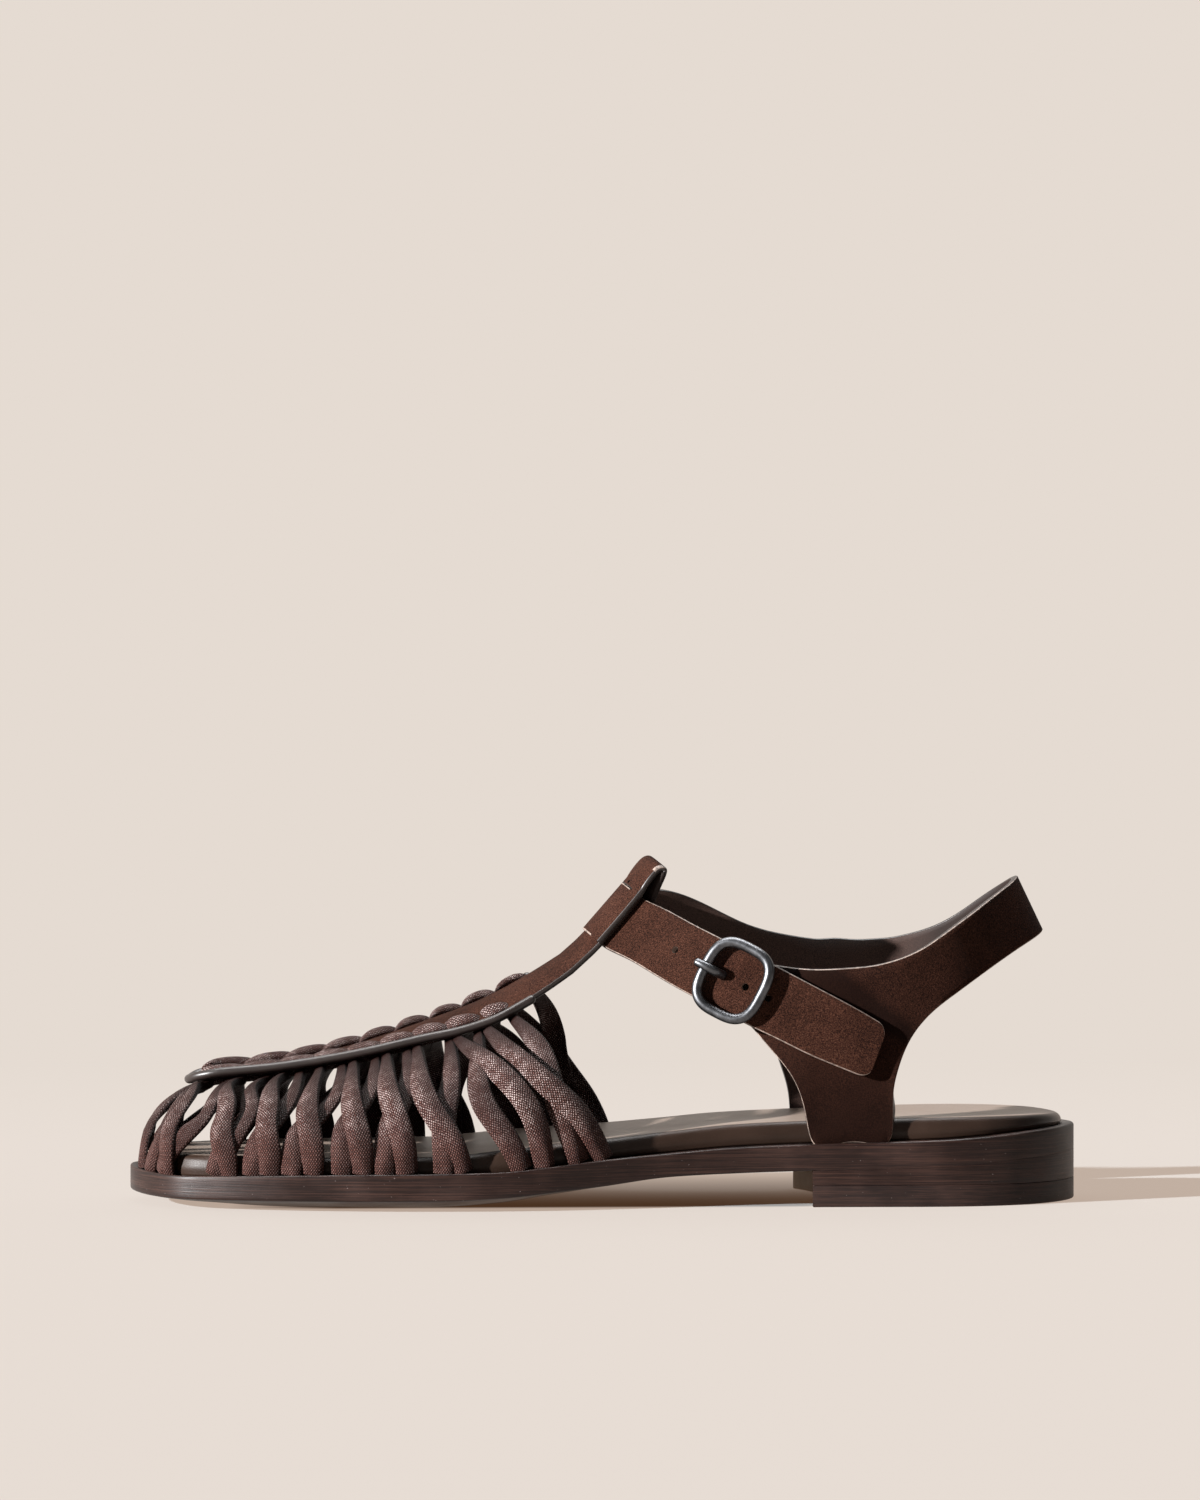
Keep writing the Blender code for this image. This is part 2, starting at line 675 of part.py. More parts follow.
def apron_edge():
    """The apron's rim from the lateral throat round the toe to the medial throat: points
    of its upper face, with the way out from the rim and the face's normal."""
    crest, half, tilt, crown = apron_track(60)
    _, level = frames(crest)
    reach = crest[:, 0] < FIRST_SLOT_X + 7.0
    near, far, near_up, far_up = [], [], [], []
    for c, n, h, t, r in zip(crest[reach], level[reach], half[reach], tilt[reach], crown[reach]):
        edge = crowned(c, n, h, t, r, (1.0, -1.0))
        near.append(edge[0])
        far.append(edge[1])
        turn = radians(t) + h / r
        near_up.append(cos(turn) * n + sin(turn) * NEAR)
        turn = radians(t) - h / r
        far_up.append(cos(turn) * n + sin(turn) * NEAR)
    front = crest[0] - np.array([0.3, 0.0, 0.1])
    points = np.array(near[::-1] + [front] + far)
    ups = unit(np.array(near_up[::-1] + [level[0]] + far_up))
    along = unit(np.gradient(points, axis=0))
    out = unit(np.cross(ups, along))
    middle = len(near)
    if out[middle][0] > 0:
        out = -out
    return points, out, ups


def edge_frame(where, edge):
    """Point, way out and normal at distances along the rim from its toe middle, where
    the lateral side counts below zero."""
    points, out, ups = edge
    s = lengths_along(points)
    middle = s[np.argmin(points[:, 0])]
    s = s - middle
    pick = [np.stack([np.interp(where, s, v[:, k]) for k in range(3)], -1) for v in (points, out, ups)]
    return pick[0], unit(pick[1]), unit(pick[2])


def slot_place(slot, side, edge):
    """Distance along the rim of a slot, counted from the instep end."""
    points = edge[0]
    s = lengths_along(points)
    tip = int(np.argmin(points[:, 0]))
    slot = np.asarray(slot, float)
    x = FIRST_SLOT_X - SLOT_PITCH * slot
    if side == "lateral":
        found = np.interp(-x, -points[: tip + 1, 0], s[: tip + 1])
    else:
        found = np.interp(x + MEDIAL_SLOT_SHIFT * toe_fade(slot), points[tip:, 0], s[tip:])
    return found - s[tip]


def toe_fade(slot):
    """How much of the medial stagger is left at a slot: 1 - (slot / last)^3."""
    return 1 - np.clip(np.asarray(slot, float) / LAST_SLOT, 0, 1) ** 3


def make_piping(parts, edge):
    ends = [slot_place(slot, side, edge) for slot, side in zip(PIPING_ENDS, ("lateral", "medial"))]
    at, out, up = edge_frame(np.linspace(*ends, 46), edge)
    centre = at + out * (PIPING_RADIUS + 1.3 * GAP) + up * 0.2
    return wire("apron_piping", centre, PIPING_RADIUS, "edge_leather", parts, resolution=1)


# ---------------------------------------------------------------- laces


def flat_ring(centre, across, up, width, thick):
    """Section of a flat lace."""
    w, t = width / 2, thick / 2
    places = ((-w, t), (w, t), (w, -t), (-w, -t))
    return [centre + across * a + up * b for a, b in places]


def lace_profile(v):
    """Last's side from the apron (v 0) to the sole (v 1): share out and share of height left."""
    a, b, c = 3 * (1 - v) ** 2 * v, 3 * (1 - v) * v * v, v**3
    out = 0.45 * a + 1.13 * b + c
    high = (1 - v) ** 3 + 0.95 * a + 0.62 * b
    return out, high


def leg_spot(side, leg_x):
    """Where a strip meets the sole, against the footbed's edge, and the way out there."""
    line = rim(side, offset=-(GAP + LACE_THICK / 2 + LEG_CLEAR), of_inset=1.0)
    tip = line[0, 0]
    x = max(leg_x, tip + 0.3)
    y = float(np.interp(x, line[:, 0], line[:, 1]))
    i = int(np.clip(np.searchsorted(line[:, 0], x), 1, len(line) - 1))
    along = unit(line[i] - line[i - 1])
    out = np.array([along[1], -along[0], 0.0]) if side == "lateral" else np.array([-along[1], along[0], 0.0])
    return np.array([x, y, float(sole_height("top")(x)) + GAP]), out


def lace_path(side, slot, leg_x, over, edge, count=7):
    """Middle line of a strip, from under the apron's rim to the sole."""
    place = slot_place(slot, side, edge)
    at, out, up = (v.reshape(3) for v in edge_frame(place, edge))
    below = THIN_LEATHER + GAP + SLOT_THICK / 2 + 0.05 + 0.17 * (1 - over)
    start = at - out * (2.2 + 0.23 * over) - up * below
    top = at + out * 1.0 - up * below
    shift = MEDIAL_LEG_SHIFT * float(toe_fade(slot)) if side == "medial" else 0.0
    foot, away = leg_spot(side, leg_x + shift)
    reach = foot - top
    outward = unit(np.array([*(unit(out[:2]) * 0.35 + away[:2] * 0.65), 0.0]))
    sideways = np.array([-outward[1], outward[0], 0.0])
    v = np.linspace(0, 1, count)
    share_out, high = lace_profile(v)
    slide = 1 - high**1.9
    path = top + outward * (reach @ outward) * share_out[:, None]
    path = path + sideways * (reach @ sideways) * slide[:, None]
    path[:, 2] = foot[2] + (top[2] - foot[2]) * high
    lift = CROSS_LIFT * over * np.sin(pi * np.clip(v * 1.15, 0, 1)) ** 0.8
    normal = strip_normals(path, outward, sideways)
    path = path + normal * lift[:, None]
    return np.vstack([start, path]), up, outward, sideways


def strip_normals(path, outward, sideways):
    """Normals of the last's side along a path: out and up, with no sideways share."""
    along = unit(np.gradient(path, axis=0))
    flat = along - (along @ sideways)[:, None] * sideways
    return unit(np.cross(unit(flat), sideways) * np.sign(np.cross(outward, sideways)[2]) * -1.0)


def lace_strip(side, row, edge):
    slot, leg_x, over = row
    path, up, outward, sideways = lace_path(side, slot, leg_x, over, edge)
    along = unit(np.gradient(path, axis=0))
    normal = strip_normals(path, outward, sideways)
    if normal[3] @ np.array([0.0, 0.0, 1.0]) < 0:
        normal = -normal
    normal[0] = up
    normal[1] = unit(up + normal[1])
    rings = []
    last = len(path) - 1
    for i, (p, a, n) in enumerate(zip(path, along, normal)):
        n = unit(n - a * (n @ a))
        across = np.cross(a, n)
        share = min(1.0, max(0.0, (i - 1) / 3.0))
        ease = share * share * (3 - 2 * share)
        width = SLOT_WIDTH + (LACE_WIDTH - SLOT_WIDTH) * ease - (0.7 if i == last else 0.0)
        thick = SLOT_THICK + (LACE_THICK - SLOT_THICK) * ease
        if i == last:
            across, n = unit(np.array([across[0], across[1], 0.0])), outward
        rings.append(flat_ring(p, across, n, width, thick))
    return np.array(rings)


def lace_rail(side, edge):
    """The run of lace under the apron that carries the strips of one side."""
    ends = slot_place(np.array([-0.3, LAST_SLOT - 0.05]), side, edge)
    where = np.linspace(ends[0], ends[1], 26)
    at, out, up = edge_frame(where, edge)
    below = THIN_LEATHER + GAP + SLOT_THICK / 2 + 0.05
    centre = at - out * (RAIL_WIDTH / 2 + 0.8) - up * below
    return np.array([flat_ring(c, o, u, RAIL_WIDTH, LACE_THICK) for c, o, u in zip(centre, out, up)])


def make_lace(side, edge, parts, cutters):
    name = "lace_" + side
    lace = finished(name, loft(name, lace_rail(side, edge)), "lace", parts)
    for k, row in enumerate(LACE_ROWS):
        mesh = loft(f"{name}_strip_{k}", lace_strip(side, row, edge))
        strip = finished(mesh.name, mesh, "lace", cutters)
        boolean(lace, strip, "UNION", "MANIFOLD")
    return largest_body(lace)


def make_loops(side, edge, parts):
    """A row of short lace loops that rise between the slots on top of the apron."""
    ends = slot_place(np.array([0.45, LAST_SLOT]), side, edge)
    count = int(abs(ends[1] - ends[0]) / SLOT_PITCH * 3.4)
    where = np.linspace(ends[0], ends[1], count)
    place = slot_place(np.arange(0, 10), side, edge)
    at, out, up = edge_frame(where, edge)
    start = place[0]
    phase = (where - start) / (place[1] - start)
    swell = 0.45 + 0.55 * np.abs(np.sin(pi * phase)) ** 0.7
    name = "lace_loops_" + side
    rings = []
    arc = np.linspace(0, pi, 6)
    for p, o, n, k in zip(at, out, up, swell):
        centre = p - o * LOOP_INSET[side] + n * (GAP + 0.25)
        rings.append([centre + o * LOOP_WIDTH / 2 * cos(a) * k**0.4 + n * LOOP_HEIGHT * k * sin(a) for a in arc])
    return finished(name, loft(name, rings), "lace", parts)


# ---------------------------------------------------------------- quarter and buckle


def band_rows():
    """Lower and upper edge of the whole band, lateral front end to free tip."""
    rows = [row for row in BAND_ROWS]
    for degrees, low, top in CROSS_ROWS:
        edge = on_instep(low, CROSS_RADIUS, degrees), on_instep(top, CROSS_RADIUS, degrees)
        rows.append((*edge[0], *edge[1]))
    return np.array(rows + list(LATERAL_ROWS), float)


def band_track():
    rows = band_rows()
    middle = (rows[:, :3] + rows[:, 3:]) / 2
    knots = lengths_along(middle)
    knots = knots + np.arange(len(knots)) * 0.5
    return rows, knots


def places_from(knots, start):
    return int(np.searchsorted(knots, start))


def band_grid(shares):
    """Grid on the outer face; rows between the table's rows are spline points."""
    rows, knots = band_track()
    smooth = natural_spline(knots, rows)
    places = []
    for a, b in zip(knots[:-1], knots[1:]):
        crossing = len(BAND_ROWS) - 2 <= places_from(knots, a) <= len(BAND_ROWS) + len(CROSS_ROWS)
        steps = max(1, int(round((b - a) / (CROSS_STEP if crossing else BAND_STEP))))
        places += list(np.linspace(a, b, steps, endpoint=False))
    edges = smooth(np.array(places + [knots[-1]]))
    low, top = edges[:, None, :3], edges[:, None, 3:]
    u = np.asarray(shares)[None, :, None]
    return low + (top - low) * u


def band_frame(x, share=0.5):
    """Middle of the lateral strap at x: point, along, across and outward."""
    rows, knots = band_track()
    smooth = natural_spline(knots, rows)
    t = np.linspace(knots[len(BAND_ROWS) + len(CROSS_ROWS)], knots[-1], 400)
    edges = smooth(t)
    middle = edges[:, :3] * (1 - share) + edges[:, 3:] * share
    i = int(np.argmin(np.abs(middle[:, 0] - x)))
    along = unit(middle[i + 3] - middle[i - 3])
    across = edges[i, 3:] - edges[i, :3]
    across = unit(across - along * (across @ along))
    out = np.cross(along, across)
    if out[1] > 0:
        out = -out
    return middle[i], along, across, out


def make_quarter(parts, cutters):
    shares = np.linspace(1, 0, 4)
    quarter = applied(sheet("quarter", band_grid(shares), "suede", parts))
    for k, place in enumerate(range(-2, 3)):
        centre, _, _, out = band_frame(PRONG_HOLE_X + place * HOLE_PITCH_X)
        shape = bmesh.new()
        bmesh.ops.create_cone(
            shape, cap_ends=True, segments=10, radius1=HOLE_RADIUS * MM, radius2=HOLE_RADIUS * MM, depth=3.6 * MM
        )
        mesh = bpy.data.meshes.new("punch")
        shape.to_mesh(mesh)
        shape.free()
        punch = finished(f"punch_{k}", mesh, "suede", cutters)
        punch.rotation_mode = "QUATERNION"
        punch.rotation_quaternion = Vector(out).to_track_quat("Z", "Y")
        punch.location = Vector((centre - out * LEATHER / 2) * MM)
        boolean(quarter, punch, "DIFFERENCE")
    return quarter


def ring_path(middle, along, across):
    """Rounded rectangle, wire centre to wire centre."""
    points = []
    corners = ((1, 1, 0), (-1, 1, 90), (-1, -1, 180), (1, -1, 270))
    for a_sign, c_sign, first in corners:
        a0 = a_sign * (RING_LENGTH / 2 - RING_CORNER)
        c0 = c_sign * (RING_WIDTH / 2 - RING_CORNER)
        for k in range(6):
            t = radians(first + 90 * k / 5)
            points.append(middle + along * (a0 + RING_CORNER * cos(t)) + across * (c0 + RING_CORNER * sin(t)))
    return points


def make_buckle(parts, cutters):
    face, along, across, out = band_frame(BUCKLE_X)
    middle = face + out * (GAP + WIRE_RADIUS)
    frame = wire("buckle_frame", ring_path(middle, along, across), WIRE_RADIUS, "gunmetal", parts, True)
    under = -(WIRE_RADIUS + 3 * GAP + LEATHER + BAR_RADIUS)
    half = RING_WIDTH / 2
    staple = [
        middle + across * half + out * 0.4,
        middle + across * half + out * (under + 1.2),
        middle + across * (half - 1.2) + out * under,
        middle - across * (half - 1.2) + out * under,
        middle - across * half + out * (under + 1.2),
        middle - across * half + out * 0.4,
    ]
    bar = wire("buckle_bar", staple, BAR_RADIUS, "gunmetal", cutters)
    boolean(frame, bar, "UNION")
    rest = WIRE_RADIUS + GAP + PRONG_RADIUS
    skin = -WIRE_RADIUS - GAP
    route = (
        (-(BAR_RADIUS + GAP + PRONG_RADIUS), under),
        (-PRONG_ROOT + 0.3, skin - LEATHER - 0.5),
        (-PRONG_ROOT, skin - LEATHER),
        (-PRONG_ROOT, skin),
        (-PRONG_ROOT - 0.6, skin + 1.4),
        (-PRONG_ROOT - 1.8, rest - 1.2),
        (-PRONG_ROOT - 3.2, rest - 0.2),
        (-RING_LENGTH / 2, rest),
        (-PRONG_REACH, rest - 0.25),
    )
    prong = [middle + along * a + out * b for a, b in route]
    wire("buckle_prong", prong, PRONG_RADIUS, "gunmetal", parts)


def main():
    for obj in list(bpy.data.objects):
        bpy.data.objects.remove(obj)
    parts = collection_named("t_strap_fisherman_sandal")
    cutters = collection_named("joins_and_cutters")
    make_outsole(parts)
    make_heel(parts)
    make_footbed(parts)
    edge = apron_edge()
    make_t_strap(parts, cutters)
    make_piping(parts, edge)
    for side in ("lateral", "medial"):
        make_lace(side, edge, parts, cutters)
        make_loops(side, edge, parts)
    make_quarter(parts, cutters)
    make_buckle(parts, cutters)


main()
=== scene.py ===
"""Dresses the left t-strap fisherman sandal: woven lace vamp, suede apron, t-strap and
quarter, footbed, leather sole, buckle, and the stage that it stands on.

Shapes are worked out in millimetres, toe to -X, lateral side -Y, +Z up, and put into
the meshes in metres.
"""

import json
from math import cos, pi, radians, sin

import bmesh
import bpy
import numpy as np
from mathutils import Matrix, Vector

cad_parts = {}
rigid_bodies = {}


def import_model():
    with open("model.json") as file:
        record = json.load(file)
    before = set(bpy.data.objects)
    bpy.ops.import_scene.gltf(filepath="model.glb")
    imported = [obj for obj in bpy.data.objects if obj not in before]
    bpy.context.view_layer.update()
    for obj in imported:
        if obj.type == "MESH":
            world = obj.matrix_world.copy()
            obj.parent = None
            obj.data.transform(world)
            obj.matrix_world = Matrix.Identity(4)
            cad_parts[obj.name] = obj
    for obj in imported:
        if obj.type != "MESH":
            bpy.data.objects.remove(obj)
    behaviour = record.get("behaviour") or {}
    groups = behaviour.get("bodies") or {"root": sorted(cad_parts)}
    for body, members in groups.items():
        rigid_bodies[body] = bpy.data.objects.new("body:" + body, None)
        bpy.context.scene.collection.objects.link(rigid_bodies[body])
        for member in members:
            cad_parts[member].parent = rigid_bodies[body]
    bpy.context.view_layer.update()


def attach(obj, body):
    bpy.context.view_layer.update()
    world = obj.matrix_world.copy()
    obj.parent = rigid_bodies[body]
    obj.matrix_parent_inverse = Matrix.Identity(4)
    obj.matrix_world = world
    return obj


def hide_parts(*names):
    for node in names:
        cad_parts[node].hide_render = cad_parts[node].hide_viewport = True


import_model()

bl_info = {
    "name": "T-strap fisherman sandal",
    "version": (1, 0, 0),
    "blender": (4, 5, 0),
    "location": "3D View > Sidebar > Sandal",
    "description": "Dresses the sandal's frame: woven vamp, suede straps, footbed, sole and buckle",
    "category": "Add Mesh",
}

MM = 0.001
GAP = 0.3  # clearance between pieces that touch

SOLE_HALF = 131.0  # half the outsole's length
HEEL_BREAST = 55.2  # x of the heel's front
BREAST_HOLLOW = 6.5  # how far the heel's front is hollowed towards the back
BREAST_POINTS = 24
TOP_PIECE = 5.9  # height of the heel's top piece
TREAD_FLAT = 0.5  # share of the width that lies flat on the floor at the ball
FOOTBED_DISH = 1.0  # how far the middle of the footbed lies below its edges
SOLID_SHARES = (0.0, 0.35, 0.65, 0.85, 0.95)  # a top's rings, from its spine to its edge
PAD_SHARES = (0.0, 0.3, 0.55, 0.75, 0.88, 0.95)

SLOT_WIDTH = 2.9  # the lace bunches to this where it enters the apron
SLOT_THICK = 2.4
SLOT_PITCH = 9.2  # x from one slot to the next
FIRST_SLOT_X = -25.3  # at the instep
LAST_SLOT = 9.45  # the lace's last place at the toe, in slots
PIPING_SLOT = -0.45  # where the piping's lateral end stops, in slots
RIM_PAST = 12.0  # how far the apron's rim is followed past the first slot
CROSS_LIFT = 0.9  # how far an upper strip rides out, and a lower one in, where they cross
FOOT_TAPER = 0.6  # how much narrower a strip is at the sole
MEDIAL_SLOT_SHIFT = 5.4  # the medial row is staggered towards the heel
MEDIAL_LEG_SHIFT = 3.6
LEG_CLEAR = 0.45  # from a strip's inner face to the footbed beside it
LOOP_INSET = {"lateral": 2.4, "medial": 3.4}  # from the apron's edge to a row's middle
LOOP_LEAN = {"lateral": 0.6, "medial": 1.2}  # how far a loop's toe end sits inwards of that
LOOP_WIDE = 2.3  # half width of a loop
LACE_RIDGE = 1.0  # a strip is folded lengthwise, with its ridge this high
LACE_TWIST = radians(24.0)  # a strip is turned towards the toe below its slot
NEAR_LOOPS = 1.2  # the lateral row is pulled tighter than the medial one by this

# Holes and buckle: places on the lateral strap by x, sizes, and the prong's lengths from
# the buckle's middle
HOLE_PITCH_X = 6.16
PRONG_HOLE_X = 30.9
BUCKLE_X = 34.2
HOLE_RADIUS = 1.0
RING_LENGTH = 17.6  # along the strap, from wire centre to wire centre
RING_WIDTH = 19.7
RING_POWER = 3.1  # of the superellipse that the ring follows
PRONG_ROOT = 3.7  # where the prong comes through its hole
PRONG_REACH = 10.6  # how far its tip goes

CAMERA_LENS = 120.55
CAMERA_TURN = radians(-3.0)  # round the upright, from straight across the sandal
CAMERA_BACK, CAMERA_ASIDE, CAMERA_HIGH = 1.394, 0.0011, 0.1244  # in metres
KEY_TOWARD = (-0.872, -0.393, 0.291)  # way to the low key light, from the left and front
KEY_POWER, KEY_SPREAD = 12.0, radians(1.5)
FILL_COLOUR, FILL_STRENGTH = (1.0, 0.93, 0.86, 1.0), 0.075
# Softboxes seen only in glossy finishes: place, size and power
SOFTBOXES = {
    "overhead": ((-0.05, 0.12, 0.95), (1.0, 0.5), 20.0),
    "reflector": ((0.75, -0.75, 0.65), (0.4, 0.5), 0.5),
}
ARCH_X, ARCH_HALF = 0.010, 0.114  # dim part of the floor, in metres: middle and half length
ARCH_NEAR, ARCH_FAR = -0.024, 0.075
# Floor and backdrop: half width, y of the front and of the middle, where the floor starts
# to sweep up, the sweep's radius, and how high the backdrop goes
FLOOR_WIDE, FLOOR_FRONT, FLOOR_MIDDLE = 8000.0, -12000.0, -1500.0
SWEEP_FROM, SWEEP_RADIUS, BACKDROP_HIGH = 1200.0, 1500.0, 5000.0

# The instep's bar, a cylinder up the slope that the t-strap lies along and the ankle strap
# bends round: y of its axis, how far the axis passes from the origin, its slope, and how
# far round it the middle of the t-strap lies, in degrees
INSTEP_Y = 5.55
INSTEP_LEVEL = 34.7
INSTEP_SLOPE = radians(49.0)
INSTEP_TILT = 17.0
SLOPE = np.array([cos(INSTEP_SLOPE), 0.0, sin(INSTEP_SLOPE)])
LEVEL = np.array([-sin(INSTEP_SLOPE), 0.0, cos(INSTEP_SLOPE)])
NEAR = np.array([0.0, -1.0, 0.0])
UP = np.array([0.0, 0.0, 1.0])

# Sole along x: y of its two edges, the footbed's inset, height of its upper face at the
# edge, of its lower face at the edge and in the middle, and of the footbed
SOLE_COLUMNS = ("x", "lateral", "medial", "inset", "top", "edge_low", "mid_low", "foot_top")
SOLE_ROWS = (
    (-131.0, 2.0, 2.0, 4.0, 10.3, 3.4, 3.4, 15.1),
    (-124.6, -18.0, 22.0, 4.3, 9.4, 3.0, 2.4, 15.1),
    (-117.5, -27.0, 29.5, 4.7, 9.2, 2.9, 1.8, 15.0),
    (-110.0, -31.5, 34.0, 4.8, 9.4, 3.0, 1.2, 14.9),
    (-90.0, -38.5, 40.3, 5.0, 10.0, 3.1, 0.2, 14.8),
    (-80.0, -40.4, 41.8, 5.0, 10.2, 3.1, 0.0, 14.7),
    (-69.0, -42.0, 43.0, 5.0, 10.4, 3.1, 0.0, 14.7),
    (-48.0, -43.3, 43.5, 5.0, 10.6, 3.2, 0.0, 14.9),
    (-30.0, -43.3, 41.7, 4.9, 11.0, 3.9, 1.2, 16.6),
    (-14.0, -41.2, 37.7, 4.7, 12.5, 5.4, 3.8, 18.2),
    (-2.0, -38.2, 33.8, 4.4, 13.7, 6.6, 5.7, 19.2),
    (16.0, -33.5, 29.2, 4.0, 15.0, 8.6, 8.2, 21.0),
    (34.0, -31.1, 27.6, 3.6, 16.3, 9.3, 9.2, 22.7),
    (55.0, -30.7, 28.0, 3.5, 17.1, 9.9, 9.9, 23.6),
    (75.0, -31.2, 29.5, 3.5, 17.6, 10.4, 10.4, 24.1),
    (90.0, -31.4, 30.5, 3.5, 18.1, 10.9, 10.9, 24.4),
    (103.0, -29.8, 29.8, 3.5, 18.9, 11.7, 11.7, 24.5),
    (114.5, -25.4, 25.8, 3.5, 19.9, 12.7, 12.7, 24.6),
    (123.0, -18.6, 19.2, 3.5, 20.5, 13.3, 13.3, 24.7),
    (128.0, -11.3, 12.0, 3.5, 20.8, 13.6, 13.6, 24.7),
    (131.0, 0.5, 0.5, 3.5, 20.9, 13.7, 13.7, 24.7),
)

# Apron and t-strap, from the toe to the instep: x, y and z of the crest, half the width,
# roll about the crest in degrees, and radius of the crown
STRAP_ROWS = (
    (-113.4, 3.4, 34.0, 2.0, 0.0, 45.0),
    (-112.6, 3.4, 34.5, 3.9, 0.0, 45.0),
    (-110.8, 3.3, 35.2, 5.7, 0.0, 45.0),
    (-107.6, 3.2, 36.1, 7.2, 0.0, 45.0),
    (-102.0, 3.0, 36.9, 8.0, 0.0, 45.0),
    (-94.5, 2.6, 37.7, 8.5, 0.0, 45.0),
    (-86.4, 2.2, 38.9, 9.1, 0.0, 44.0),
    (-77.8, 1.8, 40.7, 9.7, 1.0, 42.0),
    (-67.7, 1.4, 43.2, 10.3, 2.0, 37.0),
    (-58.0, 1.1, 46.3, 10.9, 3.0, 30.0),
    (-50.0, 0.8, 49.1, 11.4, 4.0, 25.0),
    (-42.0, 0.6, 51.9, 11.9, 6.0, 22.0),
    (-34.0, 0.4, 55.0, 11.9, 8.0, 21.0),
    (-26.0, 0.3, 58.8, 10.6, 11.0, 20.0),
    (-19.0, 0.2, 62.6, 9.2, 14.0, 19.0),
    (-11.7, 0.1, 67.0, 7.9, 16.0, 18.5),
)
# Up the instep, round the fold and down behind the ankle strap: how far up the slope,
# and the outer face's radius round the instep's bar
FOLD_ROWS = (
    (48.5, 18.0),
    (53.5, 17.7),
    (61.0, 17.6),
    (66.5, 17.8),
    (68.6, 18.0),
    (70.6, 18.4),
    (72.6, 18.8),
    (76.5, 19.1),
    (78.6, 18.9),
    (79.9, 18.2),
    (80.4, 17.2),
    (79.9, 16.2),
    (78.6, 15.3),
    (76.6, 14.4),
    (74.6, 13.5),
    (72.8, 12.6),
    (71.2, 11.8),
    (69.2, 11.2),
    (64.0, 11.2),
    (58.0, 11.2),
    (55.5, 11.2),
)
BEHIND_TURN = 25.0  # most degrees that the strap's edges reach round the bar
TAIL_LOW, TAIL_HIGH = 52.6, 69.6  # lower end of the tail and its slot, up the slope
TAIL_OUTER = 18.6  # radius of the tail's outer face, flush with the fold above it
CUT_DEPTH, CUT_WIDTH, CUT_MIDDLE, CUT_HALF = 1.1, 0.5, -0.2, 0.75  # slot the tail goes into
WORN_FOLD = 77.5  # from here the fold's outer corners show bare leather
STEP_BARE = 0.6  # share of the half width up to which the tail's lower end is bare
AWL_ALONG = 70.9  # place of the small round hole in the fold
STRAP_HALF = 7.3  # half width of the t-strap on the bar

# Quarter and ankle strap: x, y and z of the lower and the upper edge of the outer face.
# BAND_ROWS run from the lateral front end round the back to the instep, CROSS_ROWS over it
# (degrees round the bar, and both edges up the slope), LATERAL_ROWS to the free tip.
BAND_ROWS = (
    (29.6, -18.5, 57.0, 35.2, -19.3, 66.8),
    (38.1, -23.2, 50.0, 44.4, -23.9, 65.6),
    (44.4, -26.7, 42.7, 51.0, -27.0, 64.7),
    (49.8, -28.8, 35.6, 55.6, -28.2, 64.4),
    (53.3, -29.6, 26.1, 58.8, -28.6, 64.4),
    (55.6, -29.7, 17.5, 61.3, -28.8, 64.5),
    (66.0, -29.9, 17.8, 66.2, -29.0, 64.8),
    (76.3, -30.1, 18.2, 71.5, -28.9, 65.3),
    (77.2, -30.1, 29.0, 75.5, -28.7, 66.1),
    (78.6, -29.8, 37.0, 79.0, -28.3, 67.1),
    (82.0, -28.9, 45.3, 83.0, -27.5, 68.6),
    (87.5, -27.6, 52.2, 87.5, -26.2, 70.9),
    (94.5, -25.1, 57.5, 93.5, -23.8, 74.8),
    (103.0, -20.6, 63.1, 100.5, -19.6, 79.4),
    (114.2, -13.2, 70.0, 108.6, -12.6, 84.8),
    (120.6, -6.6, 73.5, 113.8, -6.2, 88.1),
    (122.4, 0.5, 74.6, 115.4, 0.5, 89.3),
    (120.6, 7.6, 73.5, 113.8, 7.2, 87.9),
    (114.2, 14.2, 69.9, 108.6, 13.6, 83.9),
    (103.5, 21.0, 63.6, 100.5, 20.2, 77.6),
    (95.0, 24.6, 57.8, 93.5, 23.8, 73.9),
    (87.5, 27.0, 51.6, 87.0, 26.2, 71.9),
    (82.3, 28.1, 44.6, 82.5, 27.2, 71.0),
    (79.2, 28.5, 36.5, 79.0, 27.9, 70.7),
    (78.0, 28.6, 28.5, 75.8, 28.2, 70.5),
    (77.2, 28.5, 18.1, 71.8, 28.3, 70.5),
    (66.0, 27.9, 17.8, 67.0, 28.3, 70.8),
    (55.2, 27.1, 17.5, 62.2, 28.1, 70.6),
    (53.9, 27.3, 26.0, 59.8, 27.9, 70.8),
    (51.8, 27.3, 34.5, 57.0, 27.6, 71.2),
    (48.2, 27.0, 43.8, 53.0, 27.0, 71.9),
    (42.8, 26.2, 52.0, 47.8, 26.2, 73.0),
    (34.2, 24.6, 59.4, 40.2, 24.8, 75.5),
    (22.0, 21.4, 66.0, 28.4, 21.8, 81.2),
    (10.5, 17.6, 70.8, 17.6, 17.4, 85.0),
)
CROSS_ROWS = ((-28.0, 55.4, 71.2), (-6.0, 54.0, 69.9), (17.0, 53.2, 69.4), (38.0, 52.8, 69.5))
CROSS_RADIUS = 15.7  # of the ankle strap's outer face round the bar
